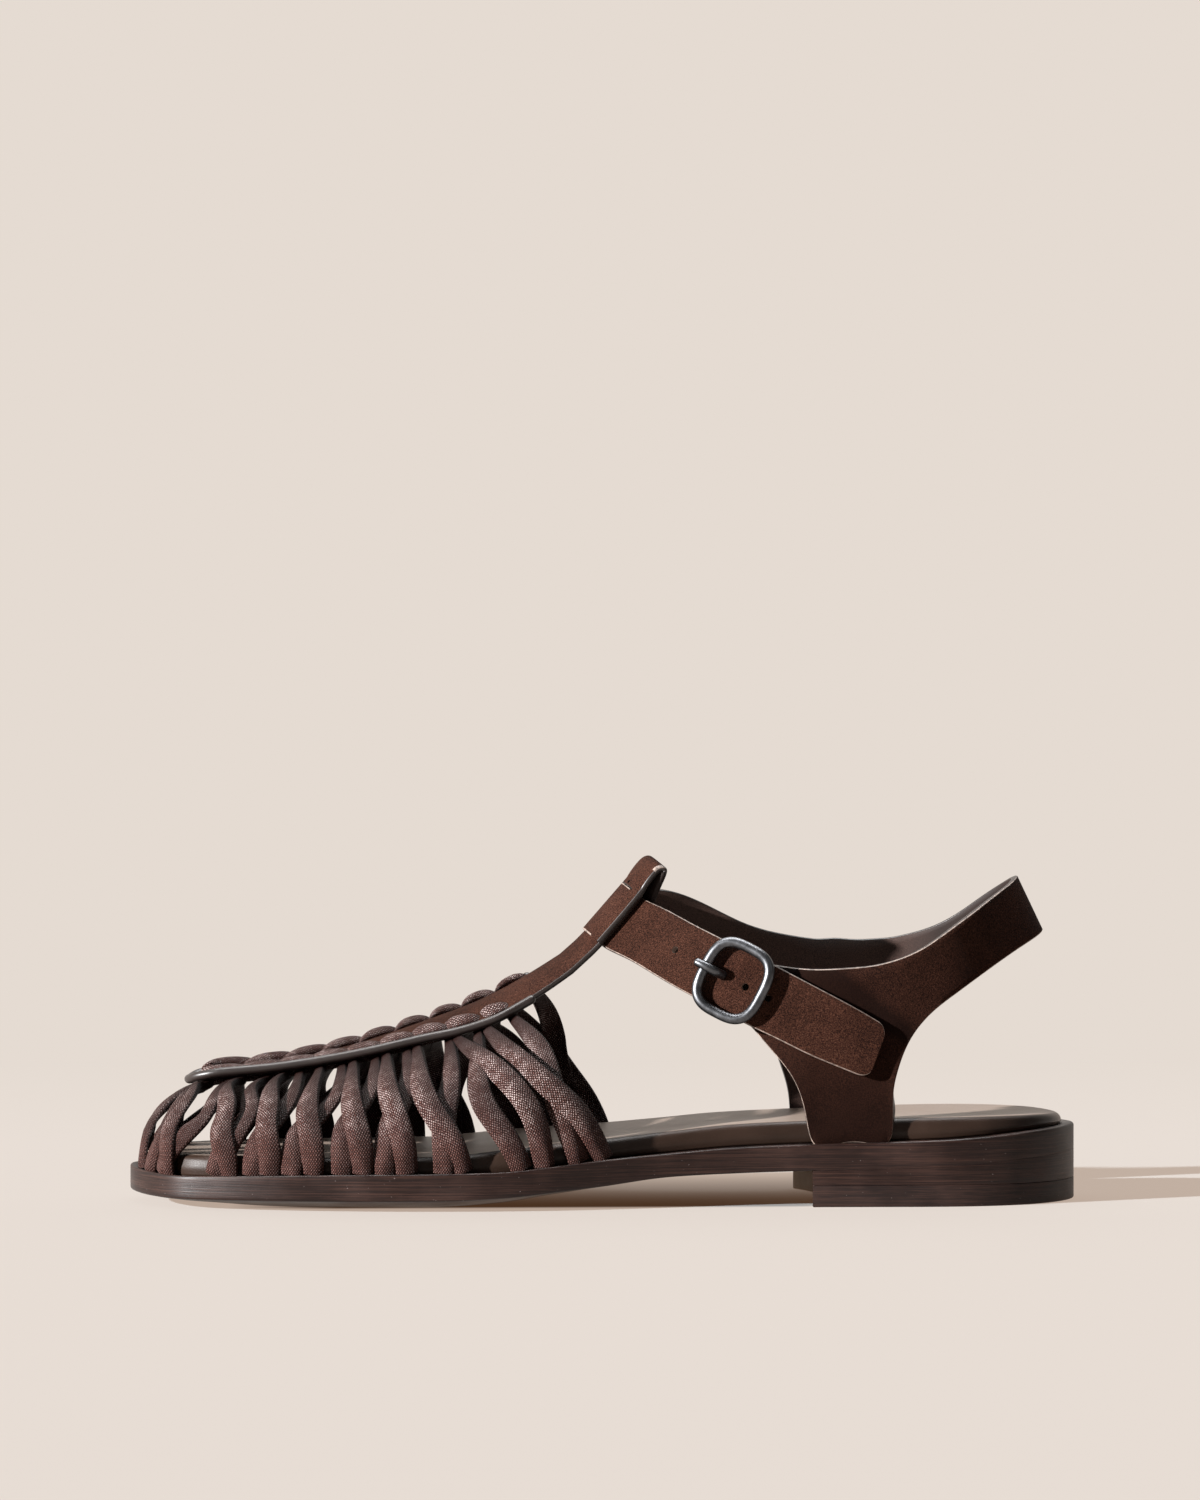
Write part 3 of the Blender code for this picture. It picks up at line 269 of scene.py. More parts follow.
LATERAL_ROWS = (
    (5.3, -10.0, 67.6, 15.6, -9.6, 80.7),
    (13.2, -16.8, 63.0, 23.2, -16.5, 76.6),
    (21.6, -22.4, 58.2, 30.2, -22.2, 73.0),
    (29.6, -26.2, 54.1, 37.6, -26.0, 69.2),
    (37.7, -28.8, 49.9, 45.8, -28.6, 65.1),
    (46.2, -30.6, 45.8, 54.6, -30.3, 60.5),
    (54.6, -31.7, 41.7, 62.6, -31.3, 56.3),
    (62.5, -32.2, 38.4, 69.3, -31.7, 52.6),
    (70.4, -32.4, 35.2, 75.6, -32.0, 48.8),
)
TIP_CORNER = 3.4  # radius of the free tip's corners
STRAP_FROM = 250.0  # length along the band where the quarter becomes the ankle strap
# The strap's upper edge in side view: x and z of one point in metres, and the way square
# to it. The suede above it is darkened in a band, because the strap shades it.
SHADED_FROM = (0.0546, 0.0605)
SHADED_WAY = (0.4867, 0.8736)

# Lace strips: slot (counted from the instep), x where the leg meets the sole, over (1) or
# under (0) the strip it crosses, and its share of the way to the leg at a quarter, a half
# and three quarters of the drop
LACE_ROWS = (
    (0.00, -8.7, 0, 0.38, 0.56, 0.77),
    (0.78, -2.1, 1, 0.23, 0.50, 0.80),
    (1.05, -24.2, 0, -0.10, 0.07, 0.58),
    (1.71, -18.3, 1, 0.40, 0.72, 0.92),
    (1.92, -45.1, 0, 0.12, 0.95, 1.05),
    (2.87, -40.2, 1, 0.04, 0.30, 0.74),
    (3.18, -60.8, 0, 0.12, 0.72, 1.0),
    (3.78, -55.1, 1, 0.0, 0.40, 0.82),
    (4.12, -72.5, 0, 0.28, 0.87, 1.0),
    (4.78, -67.1, 1, -0.32, 0.15, 0.86),
    (5.13, -86.1, 0, 0.20, 0.76, 0.98),
    (5.78, -80.4, 1, 1.5, 1.5, 1.05),
    (6.39, -96.5, 0, 0.30, 0.73, 0.96),
    (6.88, -91.9, 1, 1.06, 1.24, 1.03),
    (7.37, -106.6, 0, 0.34, 0.56, 0.85),
    (8.10, -103.3, 1, 1.1, 1.4, 1.2),
    (8.40, -121.0, 0, 0.33, 0.62, 0.92),
    (9.22, -119.8, 1, 0.48, 0.86, 0.98),
    (9.38, -124.6, 0, 0.50, 0.74, 0.92),
    (9.40, -126.6, 0, 0.69, 0.95, 1.03),
)
WEB_TURN = (-85.0, 2.0)  # plan centre that the toe's strips fan out from
WEB_FAN = 30.0  # millimetres of web per radian there
WEB_OUT = (0.45, 1.13)  # how far out the web's curve is pulled, at its upper and lower handle
WEB_HIGH = (0.95, 0.62)  # how high it is held there


# ---------------------------------------------------------------- sizes and colours


def millimetres(name, value, words):
    return bpy.props.FloatProperty(
        name=name,
        description=words,
        default=value * MM,
        min=0.0,
        precision=5,
        unit="LENGTH",
        subtype="DISTANCE",
    )


def colour(name, value, words):
    return bpy.props.FloatVectorProperty(
        name=name, description=words, default=value, min=0.0, max=1.0, size=3, subtype="COLOR"
    )


class SandalSizes(bpy.types.PropertyGroup):
    """Sizes of the pieces that a maker would change."""

    leather: millimetres("Leather", 2.0, "Thickness of the quarter and ankle strap")
    thin_leather: millimetres("Thin leather", 1.8, "Thickness of the apron and t-strap")
    lace_width: millimetres("Lace width", 6.6, "Width of the flat lace")
    lace_thickness: millimetres("Lace thickness", 1.7, "Thickness of the flat lace")
    yarn: millimetres("Yarn pitch", 0.62, "Distance from one yarn of the lace to the next")
    piping: millimetres("Piping radius", 1.25, "Radius of the rolled edge round the apron")
    wire: millimetres("Buckle wire", 1.45, "Radius of the buckle's wire")
    loop_height: millimetres("Loop height", 2.6, "How far the lace loops rise above the apron")


class SandalColours(bpy.types.PropertyGroup):
    """Colours of the sandal's finishes and of the stage."""

    suede_dark: colour("Suede, brushed down", (0.0060, 0.0022, 0.0014), "Suede between its fibres")
    dust: colour("Suede dust", (0.190, 0.105, 0.075), "Dusty flecks on the suede")
    suede_light: colour("Suede, brushed up", (0.069, 0.0262, 0.0160), "Tips of the suede's fibres")
    lace_dark: colour("Lace, between yarns", (0.0140, 0.0042, 0.0030), "Lace in its hollows")
    lace_light: colour("Lace, yarn", (0.106, 0.0415, 0.0322), "Crown of the lace's yarns")
    # Painted highlight on the lace, as pale glints; real grit in the sole's nicks.
    glint_and_grit: colour("Glint_and_grit", (0.600, 0.500, 0.480), "Specks of wax on the lace and grit on the sole")
    edge: colour("Edge paint", (0.0150, 0.0098, 0.0084), "Piping and painted edges")
    raw_edge: colour("Raw edge", (0.270, 0.200, 0.165), "Bare corner of a cut edge")
    lining: colour("Lining", (0.0150, 0.0085, 0.0068), "Inner face of the straps")
    footbed: colour("Footbed", (0.0205, 0.0108, 0.0070), "Smooth leather of the footbed")
    # Painted sheen: the footbed's colour seen at a skimming angle, standing in for reflection.
    painted_sheen: colour("Footbed bloom", (0.310, 0.238, 0.195), "Footbed seen at a skimming angle")
    sole_dark: colour("Sole edge, dark", (0.0085, 0.0032, 0.0024), "Sole's edge between its streaks")
    sole_light: colour("Sole edge, light", (0.038, 0.0168, 0.0120), "Streaks of the sole's edge")
    # The heel's front is painted pale: painted light, so that its shaded hollow looks lit.
    breast: colour("Heel breast", (0.300, 0.235, 0.180), "Rough front of the heel")
    metal: colour("Gunmetal", (0.080, 0.082, 0.088), "Buckle and prong")
    floor_lit: colour("Floor in the key light", (0.238, 0.262, 0.271), "Share of the key it returns")
    floor_open: colour("Floor in shadow", (0.478, 0.372, 0.303), "Floor out of the key light")
    floor_dim: colour("Floor under the arch", (0.065, 0.030, 0.014), "Floor that the sandal shades")
    backdrop: colour("Backdrop", (0.783, 0.708, 0.644), "Backdrop behind the floor")


# ---------------------------------------------------------------- curves and tables


def column(name):
    """One column of the sole's table."""
    return np.array([row[SOLE_COLUMNS.index(name)] for row in SOLE_ROWS], float)


def natural_spline(knots, values):
    """Natural cubic spline: piecewise cubics whose second derivatives solve the usual
    three-term system, with none at the ends."""
    knots, values = np.asarray(knots, float), np.asarray(values, float)
    n, step = len(knots), np.diff(knots)
    system = np.eye(n)
    right = np.zeros((n,) + values.shape[1:])
    for i in range(1, n - 1):
        system[i, i - 1 : i + 2] = step[i - 1], 2 * (step[i - 1] + step[i]), step[i]
        right[i] = 6 * ((values[i + 1] - values[i]) / step[i] - (values[i] - values[i - 1]) / step[i - 1])
    bend = np.linalg.solve(system, right)

    def at(t):
        t = np.asarray(t, float)
        i = np.clip(np.searchsorted(knots, t) - 1, 0, n - 2)
        h = step[i]
        a, b = (knots[i + 1] - t) / h, (t - knots[i]) / h
        if values.ndim > 1:
            a, b, h = a[..., None], b[..., None], h[..., None]
        cubic = ((a**3 - a) * bend[i] + (b**3 - b) * bend[i + 1]) * h * h / 6
        return a * values[i] + b * values[i + 1] + cubic

    return at


def steady_curve(knots, values):
    """Hermite cubic with harmonic-mean slopes, so it never swings past its knots."""
    knots, values = np.asarray(knots, float), np.asarray(values, float)
    step = np.diff(knots)
    rise = np.diff(values) / step
    slope = np.zeros(len(knots))
    slope[0], slope[-1] = rise[0], rise[-1]
    for i in range(1, len(knots) - 1):
        if rise[i - 1] * rise[i] > 0:
            slope[i] = 2 * rise[i - 1] * rise[i] / (rise[i - 1] + rise[i])

    def at(x):
        x = np.clip(np.asarray(x, float), knots[0], knots[-1])
        i = np.clip(np.searchsorted(knots, x) - 1, 0, len(knots) - 2)
        h = step[i]
        t = (x - knots[i]) / h
        start = values[i] * (1 + 2 * t) * (1 - t) ** 2 + slope[i] * h * t * (1 - t) ** 2
        return start + values[i + 1] * t * t * (3 - 2 * t) + slope[i + 1] * h * t * t * (t - 1)

    return at


def unit(v):
    return v / np.maximum(np.linalg.norm(v, axis=-1, keepdims=True), 1e-12)


def lengths_along(points):
    return np.concatenate([[0.0], np.cumsum(np.linalg.norm(np.diff(points, axis=0), axis=1))])


def smooth_step(t):
    """3 t^2 - 2 t^3 between 0 and 1, level outside."""
    t = np.clip(t, 0.0, 1.0)
    return t * t * (3 - 2 * t)


def resampled(points, count):
    """Points evenly spaced along the natural spline through a polyline's points."""
    s = lengths_along(points)
    return natural_spline(s, points)(np.linspace(0, s[-1], count))


def between(places, knots, points):
    """Points at places along a polyline whose corners are at the knots."""
    return np.stack([np.interp(places, knots, points[:, k]) for k in range(3)], -1)


def full_turn(count):
    """Evenly spaced angles once round."""
    return np.linspace(0, 2 * pi, count, endpoint=False)


def squared(wave, power):
    """A sine or cosine pushed out towards 1 and -1, as on a superellipse."""
    return np.sign(wave) * np.abs(wave) ** power


# ---------------------------------------------------------------- meshes


def linked(name, data):
    obj = bpy.data.objects.new(name, data)
    bpy.context.scene.collection.objects.link(obj)
    return obj


def skin_faces(rows, around, looped):
    """Quads between neighbouring rows of closed rings, and the corner places of their UVs."""
    last = rows if looped else rows - 1
    i, j = np.meshgrid(np.arange(last), np.arange(around), indexing="ij")
    k, n = (j + 1) % around, (i + 1) % rows
    quads = np.stack([i * around + j, i * around + k, n * around + k, n * around + j], -1).reshape(-1, 4)
    wide = around + 1
    corners = np.stack([i * wide + j, i * wide + j + 1, (i + 1) * wide + j + 1, (i + 1) * wide + j], -1)
    return quads, corners.reshape(-1, 4)


def signed_volume(points, quads):
    """Volume inside quads that face out, from the pyramids they make with the origin."""
    a, b, c, d = (points[quads[:, k]] for k in range(4))
    return (np.einsum("ij,ij->i", a, np.cross(b, c)) + np.einsum("ij,ij->i", a, np.cross(c, d))).sum() / 6


def skinned(name, parts, materials):
    """One mesh from parts, each a dict: rings (rows, around, 3) in millimetres, uv
    (rows, around + 1, 2) in millimetres, zone (around) material numbers, shade (rows, 1)
    or (rows, around) for the finish's shade attribute, looped and cap."""
    points, faces, zones, uvs, shades = [], [], [], [], []
    base = 0
    for part in parts:
        rings = np.asarray(part["rings"], float)
        rows, around = rings.shape[:2]
        looped = part.get("looped", False)
        flat = rings.reshape(-1, 3)
        quads, corners = skin_faces(rows, around, looped)
        uv = np.asarray(part.get("uv", np.zeros((rows + looped, around + 1, 2)))).reshape(-1, 2)
        turned = signed_volume(flat, quads) < 0
        if turned:
            quads, corners = quads[:, ::-1], corners[:, ::-1]
        zone = np.asarray(part.get("zone", np.zeros(around, int)))
        if zone.ndim == 1:
            zone = np.tile(zone, rows - (not looped))
        points.append(flat)
        shades.append(np.broadcast_to(part.get("shade", 1.0), (rows, around)).ravel())
        faces += (quads + base).tolist()
        zones += zone.reshape(-1).tolist()
        uvs.append(uv[corners].reshape(-1, 2))
        if not looped and part.get("cap", True):
            first = list(range(around))
            last = [(rows - 1) * around + j for j in first]
            ends = [first, last[::-1]] if turned else [first[::-1], last]
            faces += [[base + p for p in end] for end in ends]
            zones += [int(part.get("cap_zone", zone.reshape(-1)[0]))] * 2
            uvs.append(np.zeros((2 * around, 2)))
        base += len(flat)
    mesh = bpy.data.meshes.new(name)
    mesh.from_pydata((np.concatenate(points) * MM).tolist(), [], faces)
    layer = mesh.uv_layers.new(name="UVMap")
    layer.data.foreach_set("uv", np.concatenate(uvs).astype(np.float32).ravel())
    shade = mesh.attributes.new("shade", "FLOAT", "POINT")
    shade.data.foreach_set("value", np.concatenate(shades).astype(np.float32))
    for material in materials:
        mesh.materials.append(material)
    mesh.polygons.foreach_set("material_index", np.array(zones, np.int32))
    shape = bmesh.new()
    shape.from_mesh(mesh)
    bmesh.ops.remove_doubles(shape, verts=shape.verts, dist=2e-7)
    shape.to_mesh(mesh)
    shape.free()
    mesh.shade_smooth()
    mesh.set_sharp_from_angle(angle=radians(50.0))
    return linked(name, mesh)


def seated(obj, slot, *nodes):
    """Puts a finished piece on the frame's one body, in place of its CAD nodes."""
    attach(obj, "root")
    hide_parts(*nodes)


def frame_along(path, normal):
    """Way along a path, way across it, and the normal squared to the path."""
    along = unit(np.gradient(path, axis=0))
    normal = unit(normal - along * np.sum(along * normal, -1, keepdims=True))
    return along, np.cross(along, normal), normal


def tube(path, radius, normal=None, around=16, flat=1.0):
    """Ellipse of the given radius carried along a path, flattened along the normal."""
    guide = np.broadcast_to(UP if normal is None else normal, path.shape)
    _, across, up = frame_along(path, guide)
    angle = full_turn(around)
    r = np.broadcast_to(np.asarray(radius, float), (len(path),))[:, None, None]
    ring = across[:, None] * np.cos(angle)[:, None] + up[:, None] * (np.sin(angle) * flat)[:, None]
    uv = np.zeros((len(path), around + 1, 2))
    uv[..., 0] = np.linspace(0, 2 * pi * np.mean(radius), around + 1)
    uv[..., 1] = lengths_along(path)[:, None]
    return {"rings": path[:, None] + ring * r, "uv": uv}


def rounded_ends(path, radius, steps=5):
    """Adds a quarter circle of shrinking rings to both ends of a tube's path."""
    a = np.linspace(0, pi / 2, steps + 1)[1:]
    start, end = unit(path[0] - path[1]), unit(path[-1] - path[-2])
    head = path[0] + start * (radius * np.sin(a))[::-1, None]
    foot = path[-1] + end * (radius * np.sin(a))[:, None]
    sizes = np.maximum(radius * np.cos(a), 0.02)
    return np.vstack([head, path, foot]), np.concatenate([sizes[::-1], np.full(len(path), radius), sizes])


def leather(grid, thickness, zones=(0, 1, 2, 3), bevel=0.26, bulge=0.34, rise=0.0, turns=0):
    """Closed section of a leather strap: the outer face's grid (rows, across, 3), lifted by
    rise, its edges, and the inner face one thickness below. An edge is cut square with
    small bevels, or painted: a half ellipse of the given bulge in so many turns. Zones
    number the outer face, the bevels, the edges and the inner face."""
    along = np.gradient(grid, axis=0)
    across = np.gradient(grid, axis=1)
    normal = unit(np.cross(across, along))
    side = unit(across)
    t, b = thickness, bevel
    lifts = np.broadcast_to(np.asarray(rise, float), grid.shape[:2])
    outer = [grid[:, j] + normal[:, j] * lifts[:, j, None] for j in range(grid.shape[1])]
    inner = [grid[:, j] - normal[:, j] * t for j in range(grid.shape[1])]
    edges = []
    for j, way in ((-1, 1.0), (0, -1.0)):
        edge, n, a, lift = grid[:, j], normal[:, j], side[:, j] * way, lifts[:, j, None]
        if turns:
            lean = np.linspace(0, pi, turns + 2)[1:-1]
            middle, reach = lift - t, lift + t
            edges.append([edge + a * bulge * sin(p) + n * (middle + reach * cos(p)) / 2 for p in lean])
        else:
            cut = edge + a * bulge - n * t / 2
            edges.append([edge + a * b - n * (b - lift), cut, edge + a * b - n * (t - b)])
    rings = np.stack(outer + edges[0] + inner[::-1] + edges[1][::-1], axis=1)
    faces, body = len(outer) - 1, [zones[2]] * len(edges[0])
    zone = [zones[0]] * faces + [zones[1]] + body + [zones[3]] * faces + body + [zones[1]]
    width = np.linalg.norm(np.diff(np.concatenate([rings, rings[:, :1]], axis=1), axis=1), axis=2)
    uv = np.zeros((len(rings), rings.shape[1] + 1, 2))
    uv[:, 1:, 0] = np.cumsum(width, axis=1)
    uv[..., 1] = lengths_along(grid[:, grid.shape[1] // 2])[:, None]
    return {"rings": rings, "uv": uv, "zone": np.array(zone), "cap_zone": zones[2]}


# ---------------------------------------------------------------- materials


class Value:
    """A shader value. Sums, differences, products and powers of it add Math nodes."""

    def __init__(self, finish, socket):
        self.finish, self.socket = finish, socket

    def math(self, operation, first, second=0.0):
        return self.finish.add("ShaderNodeMath", {"operation": operation}, {0: first, 1: second})

    def __add__(self, other):
        return self.math("ADD", self, other)

    def __radd__(self, other):
        return self.math("ADD", other, self)

    def __sub__(self, other):
        return self.math("SUBTRACT", self, other)

    def __rsub__(self, other):
        return self.math("SUBTRACT", other, self)

    def __mul__(self, other):
        return self.math("MULTIPLY", self, other)

    def __rmul__(self, other):
        return self.math("MULTIPLY", other, self)

    def __pow__(self, other):
        return self.math("POWER", self, other)

    def sine(self):
        return self.math("SINE", self)

    def size(self):
        return self.math("ABSOLUTE", self)


class Finish:
    """One material and its Principled shader, with nodes added by one method."""

    def __init__(self, name, **sockets):
        self.material = bpy.data.materials.new(name)
        self.material.use_nodes = True
        self.tree = self.material.node_tree
        self.shader = self.tree.nodes["Principled BSDF"]
        for socket, value in sockets.items():
            self.shader.inputs[socket.replace("_", " ")].default_value = value

    def add(self, kind, settings=None, values=None, output=0):
        node = self.tree.nodes.new(kind)
        for key, value in (settings or {}).items():
            setattr(node, key, value)
        for key, value in (values or {}).items():
            if isinstance(value, Value):
                self.tree.links.new(value.socket, node.inputs[key])
            elif node.inputs[key].type == "RGBA":
                node.inputs[key].default_value = (*value, 1.0)
            else:
                node.inputs[key].default_value = value
        return Value(self, node.outputs[output])

    def place(self):
        return self.add("ShaderNodeTexCoord", output="Object")

    def uv(self):
        return self.add("ShaderNodeUVMap", {"uv_map": "UVMap"})

    def split(self, vector):
        node = self.add("ShaderNodeSeparateXYZ", values={0: vector})
        return [Value(self, node.socket.node.outputs[k]) for k in range(3)]

    def stretched(self, vector, scale):
        return self.add("ShaderNodeVectorMath", {"operation": "MULTIPLY"}, {0: vector, 1: scale})

    def noise(self, vector, scale, detail=2.0, roughness=0.5):
        sockets = {"Vector": vector, "Scale": scale, "Detail": detail, "Roughness": roughness}
        return self.add("ShaderNodeTexNoise", {"noise_dimensions": "3D"}, sockets)

    def cells(self, vector, scale, feature="F1"):
        return self.add("ShaderNodeTexVoronoi", {"feature": feature}, {"Vector": vector, "Scale": scale})

    def ranged(self, value, low, high, to_low=0.0, to_high=1.0):
        sockets = {0: value, 1: low, 2: high, 3: to_low, 4: to_high}
        return self.add("ShaderNodeMapRange", {"clamp": True}, sockets)

    def mixed(self, share, first, second):
        return self.add("ShaderNodeMix", {"data_type": "RGBA"}, {0: share, 6: first, 7: second}, output=2)

    def feed(self, **sockets):
        for socket, value in sockets.items():
            self.tree.links.new(value.socket, self.shader.inputs[socket.replace("_", " ")])

    def bump(self, height, strength, distance):
        sockets = {"Strength": strength, "Distance": distance, "Height": height}
        self.feed(Normal=self.add("ShaderNodeBump", values=sockets))


def suede_finish(name, colours, tone_at_sole):
    """Short pile: fibre tips lighter than the ground, a few dusty flecks, brushed in soft
    patches. On a panel it is darker towards the sole, and carries a painted shadow in a band
    above the ankle strap, which shades it; the strap itself, further along, is not darkened."""
    made = Finish(name, Roughness=0.9, Specular_IOR_Level=0.05)
    at = made.place()
    fibre = made.noise(at, 3100.0, 3.0, 0.75)
    speck = made.noise(at, 5600.0, 1.0)
    patch = made.noise(at, 60.0, 3.0, 0.6)
    tips = made.ranged(fibre + (patch - 0.5) * 0.25 + (speck - 0.5) * 0.5, 0.38, 0.68)
    fleck = made.ranged(speck + (fibre - 0.5) * 0.5, 0.64, 0.76) * made.ranged(patch, 0.35, 0.65) * 0.5
    if tone_at_sole < 1:
        x, y, z = made.split(at)
        above = (x - SHADED_FROM[0]) * SHADED_WAY[0] + (z - SHADED_FROM[1]) * SHADED_WAY[1]
        reach = above + (x - 0.065) * 0.23
        # Painted shadow: a band above the ankle strap's upper edge is darkened as if the strap shaded it.
        shaded = made.ranged(reach, 0.0060, 0.0095, 0.85, 0.0) * made.ranged(x, 0.090, 0.082)
        shaded = shaded * made.ranged(y, 0.0, -0.02)
        strap = made.ranged(made.split(made.uv())[1], STRAP_FROM, STRAP_FROM + 4.0)
        low = made.ranged(z, 0.024, 0.060, tone_at_sole, 0.78)
        panel = low * (1.0 - shaded * made.ranged(above, -0.0025, 0.0))
        # Share of fibre tips kept: fewer towards the sole, and fewer in the painted shadow band.
        tone_and_shadow = made.ranged(panel + strap, 0.0, 1.0, 0.0, 0.94)
        tips, fleck = tips * tone_and_shadow, fleck * tone_and_shadow * made.ranged(tone_and_shadow, 0.5, 0.9)
    body = made.mixed(tips, colours.suede_dark, colours.suede_light)
    made.feed(Base_Color=made.mixed(fleck, body, colours.dust))
    made.bump(fibre * 0.6 + speck * 0.4, 0.8, 0.00034)


def lace_finish(colours, sizes):
    """Plait on the lace's own length and width: yarns cross at a slant, over and under each
    other like a chequer, uneven, waxed, with painted highlights as bright specks. The shade
    attribute carries painted shade where the strips bunch up, pass under, and turn from the light."""
    made = Finish("woven_lace", Roughness=0.5, Specular_IOR_Level=0.12)
    across, along, _ = made.split(made.uv())
    turn = pi / (sizes.yarn / MM) / 1.25
    wobble = made.noise(made.uv(), 0.8, 2.0)
    warp = ((across + along * 0.8) * turn + wobble * 2.4).sine()
    weft = ((across - along * 0.8) * turn + wobble * 1.6).sine()
    crown = (warp * weft).size()
    upper = made.ranged(warp * weft, -0.35, 0.35)
    fuzz = made.noise(made.place(), 3400.0, 3.0, 0.75)
    worn = made.noise(made.place(), 240.0, 3.0, 0.6)
    # The shade attribute is painted shade, set per strip and per loop.
    shade = made.add("ShaderNodeAttribute", {"attribute_name": "shade"}, output=2)
    yarn = made.ranged(crown * (0.62 + upper * 0.38) + (fuzz - 0.5) * 0.7 + (worn - 0.5) * 0.5, 0.06, 0.92)
    body = made.mixed(yarn * shade, colours.lace_dark, colours.lace_light)
    # Painted highlights: pale specks, kept to the lit and higher parts of the strips, stand in for glints
    # of the key light.
    high = made.ranged(made.split(made.place())[2], 0.017, 0.029, 0.12, 1.0)
    glint = made.ranged(fuzz + (crown - 0.5) * 0.30 + (worn - 0.5) * 0.45, 0.58, 0.70)
    speck = glint * shade * high * 0.85
    made.feed(Base_Color=made.mixed(speck, body, colours.glint_and_grit))
    made.feed(Roughness=made.ranged(crown + (fuzz - 0.5) * 0.6, 0.1, 0.9, 0.68, 0.36))
    made.bump(crown * 0.7 + upper * 0.35 + fuzz * 0.5, 0.95, 0.00032)


def smooth_leather(name, tone, roughness, grain, depth, shine=0.5, painted_sheen=None, painted_light_gain=0.0):
    """Finished leather: faint cell grain, a little cloudiness, and where it is asked for a painted
    sheen at skimming angles that stands in for reflection, and painted light ahead of the heel."""
    made = Finish(name, Roughness=roughness, Specular_IOR_Level=shine)
    at = made.place()
    pebble = made.cells(at, grain, "DISTANCE_TO_EDGE")
    cloud = made.noise(at, 45.0, 3.0, 0.6)
    fine = made.noise(at, grain * 2.2, 2.0)
    light = tuple(min(1.0, c * 1.35) for c in tone)
    dark = tuple(c * 0.72 for c in tone)
    body = made.mixed(made.ranged(cloud, 0.3, 0.7), dark, light)
    if painted_sheen is not None:
        # Painted reflection: the colour turns pale where the surface is seen at a skimming angle.
        skim = made.add("ShaderNodeLayerWeight", values={"Blend": 0.5}, output="Facing")
        body = made.mixed(made.ranged(skim, 0.58, 0.93), body, painted_sheen)
    # Painted light: the leather ahead of the heel is made paler in patches, as where light falls on it.
    if painted_light_gain:
        ahead = made.ranged(made.split(at)[0], 0.096, 0.076, 0.0, 1.0)
        pale = tuple(min(1.0, c * painted_light_gain) for c in tone)
        body = made.mixed(ahead * made.ranged(fine, 0.25, 0.65), body, pale)
    made.feed(Base_Color=body)
    made.feed(Roughness=made.ranged(cloud * 0.6 + fine * 0.4, 0.3, 0.7, roughness - 0.06, roughness + 0.1))
    made.bump(made.ranged(pebble, 0.0, 0.12) * 0.5 + fine * 0.5, 0.35, depth)


def sole_finish(name, colours, streak, roughness):
    """Burnished layers: long level streaks, a few pale nicks and a waxed sheen."""
    made = Finish(name, Roughness=roughness, Specular_IOR_Level=0.28)
    at = made.place()
    layers = made.noise(made.stretched(at, (26.0, 26.0, 2600.0)), 1.0, 4.0, 0.6)
    fine = made.noise(made.stretched(at, (160.0, 160.0, 8200.0)), 1.0, 2.0)
    cloud = made.noise(at, 60.0, 3.0)
    nick = made.ranged(made.noise(at, 2600.0, 0.0), 0.85, 0.89)
    whole = streak + 0.65
    share = made.ranged(layers * streak + fine * 0.35 + cloud * 0.3, 0.45 * whole, 0.62 * whole)
    body = made.mixed(share, colours.sole_dark, colours.sole_light)
    made.feed(Base_Color=made.mixed(nick * 0.3, body, colours.glint_and_grit))
    made.feed(Roughness=made.ranged(cloud, 0.3, 0.7, roughness - 0.08, roughness + 0.12))
    made.bump(layers * 0.6 + fine * 0.4, 0.35, 0.0002)


def metal_finish(colours):
    """Tumbled gunmetal plating: soft mottle and hairline wear."""
    made = Finish("gunmetal_plate", Metallic=1.0, Roughness=0.40)
    at = made.place()
    mottle = made.noise(at, 420.0, 3.0, 0.6)
    wear = made.noise(at, 2500.0, 2.0)
    bright = tuple(min(1.0, c * 1.7) for c in colours.metal)
    made.feed(Base_Color=made.mixed(made.ranged(mottle, 0.4, 0.7), colours.metal, bright))
    made.feed(Roughness=made.ranged(mottle * 0.5 + wear * 0.5, 0.3, 0.7, 0.32, 0.42))
    made.bump(wear, 0.2, 0.00006)


def raw_finish(colours):
    """Bare cut corner of dyed leather, unevenly worn."""
    made = Finish("raw_edge", Roughness=0.6, Specular_IOR_Level=0.4)
    worn = made.noise(made.place(), 700.0, 3.0, 0.7)
    dark = tuple(c * 0.3 for c in colours.raw_edge)
    made.feed(Base_Color=made.mixed(made.ranged(worn, 0.36, 0.6), dark, colours.raw_edge))
    made.bump(worn, 0.3, 0.0002)


def finishes():
    """The sandal's materials by name, made once."""
    found = bpy.data.materials
    if "suede_nap" not in found:
        colours, sizes = bpy.context.scene.sandal_colours, bpy.context.scene.sandal_sizes
        lining, painted_sheen = colours.lining, colours.painted_sheen
        suede_finish("suede_nap", colours, 1.0)
        suede_finish("suede_panel", colours, 0.20)
        lace_finish(colours, sizes)
        smooth_leather("edge_paint", colours.edge, 0.36, 1500.0, 0.00002)
        # The lining carries painted light ahead of the heel.
        smooth_leather("smooth_lining", lining, 0.62, 1900.0, 0.00004, shine=0.2, painted_light_gain=6.0)
        smooth_leather("strap_lining", lining, 0.62, 1900.0, 0.00004, shine=0.2)
        smooth_leather("footbed_skin", colours.footbed, 0.42, 1500.0, 0.00006, shine=0.22, painted_sheen=painted_sheen)
        sole_finish("sole_edge", colours, 0.6, 0.42)
        sole_finish("heel_rubber", colours, 0.35, 0.55)
        # The heel's front is painted pale, as if lit.
        smooth_leather("heel_breast", colours.breast, 0.7, 900.0, 0.0001, shine=0.2)
        metal_finish(colours)
        raw_finish(colours)
    return found


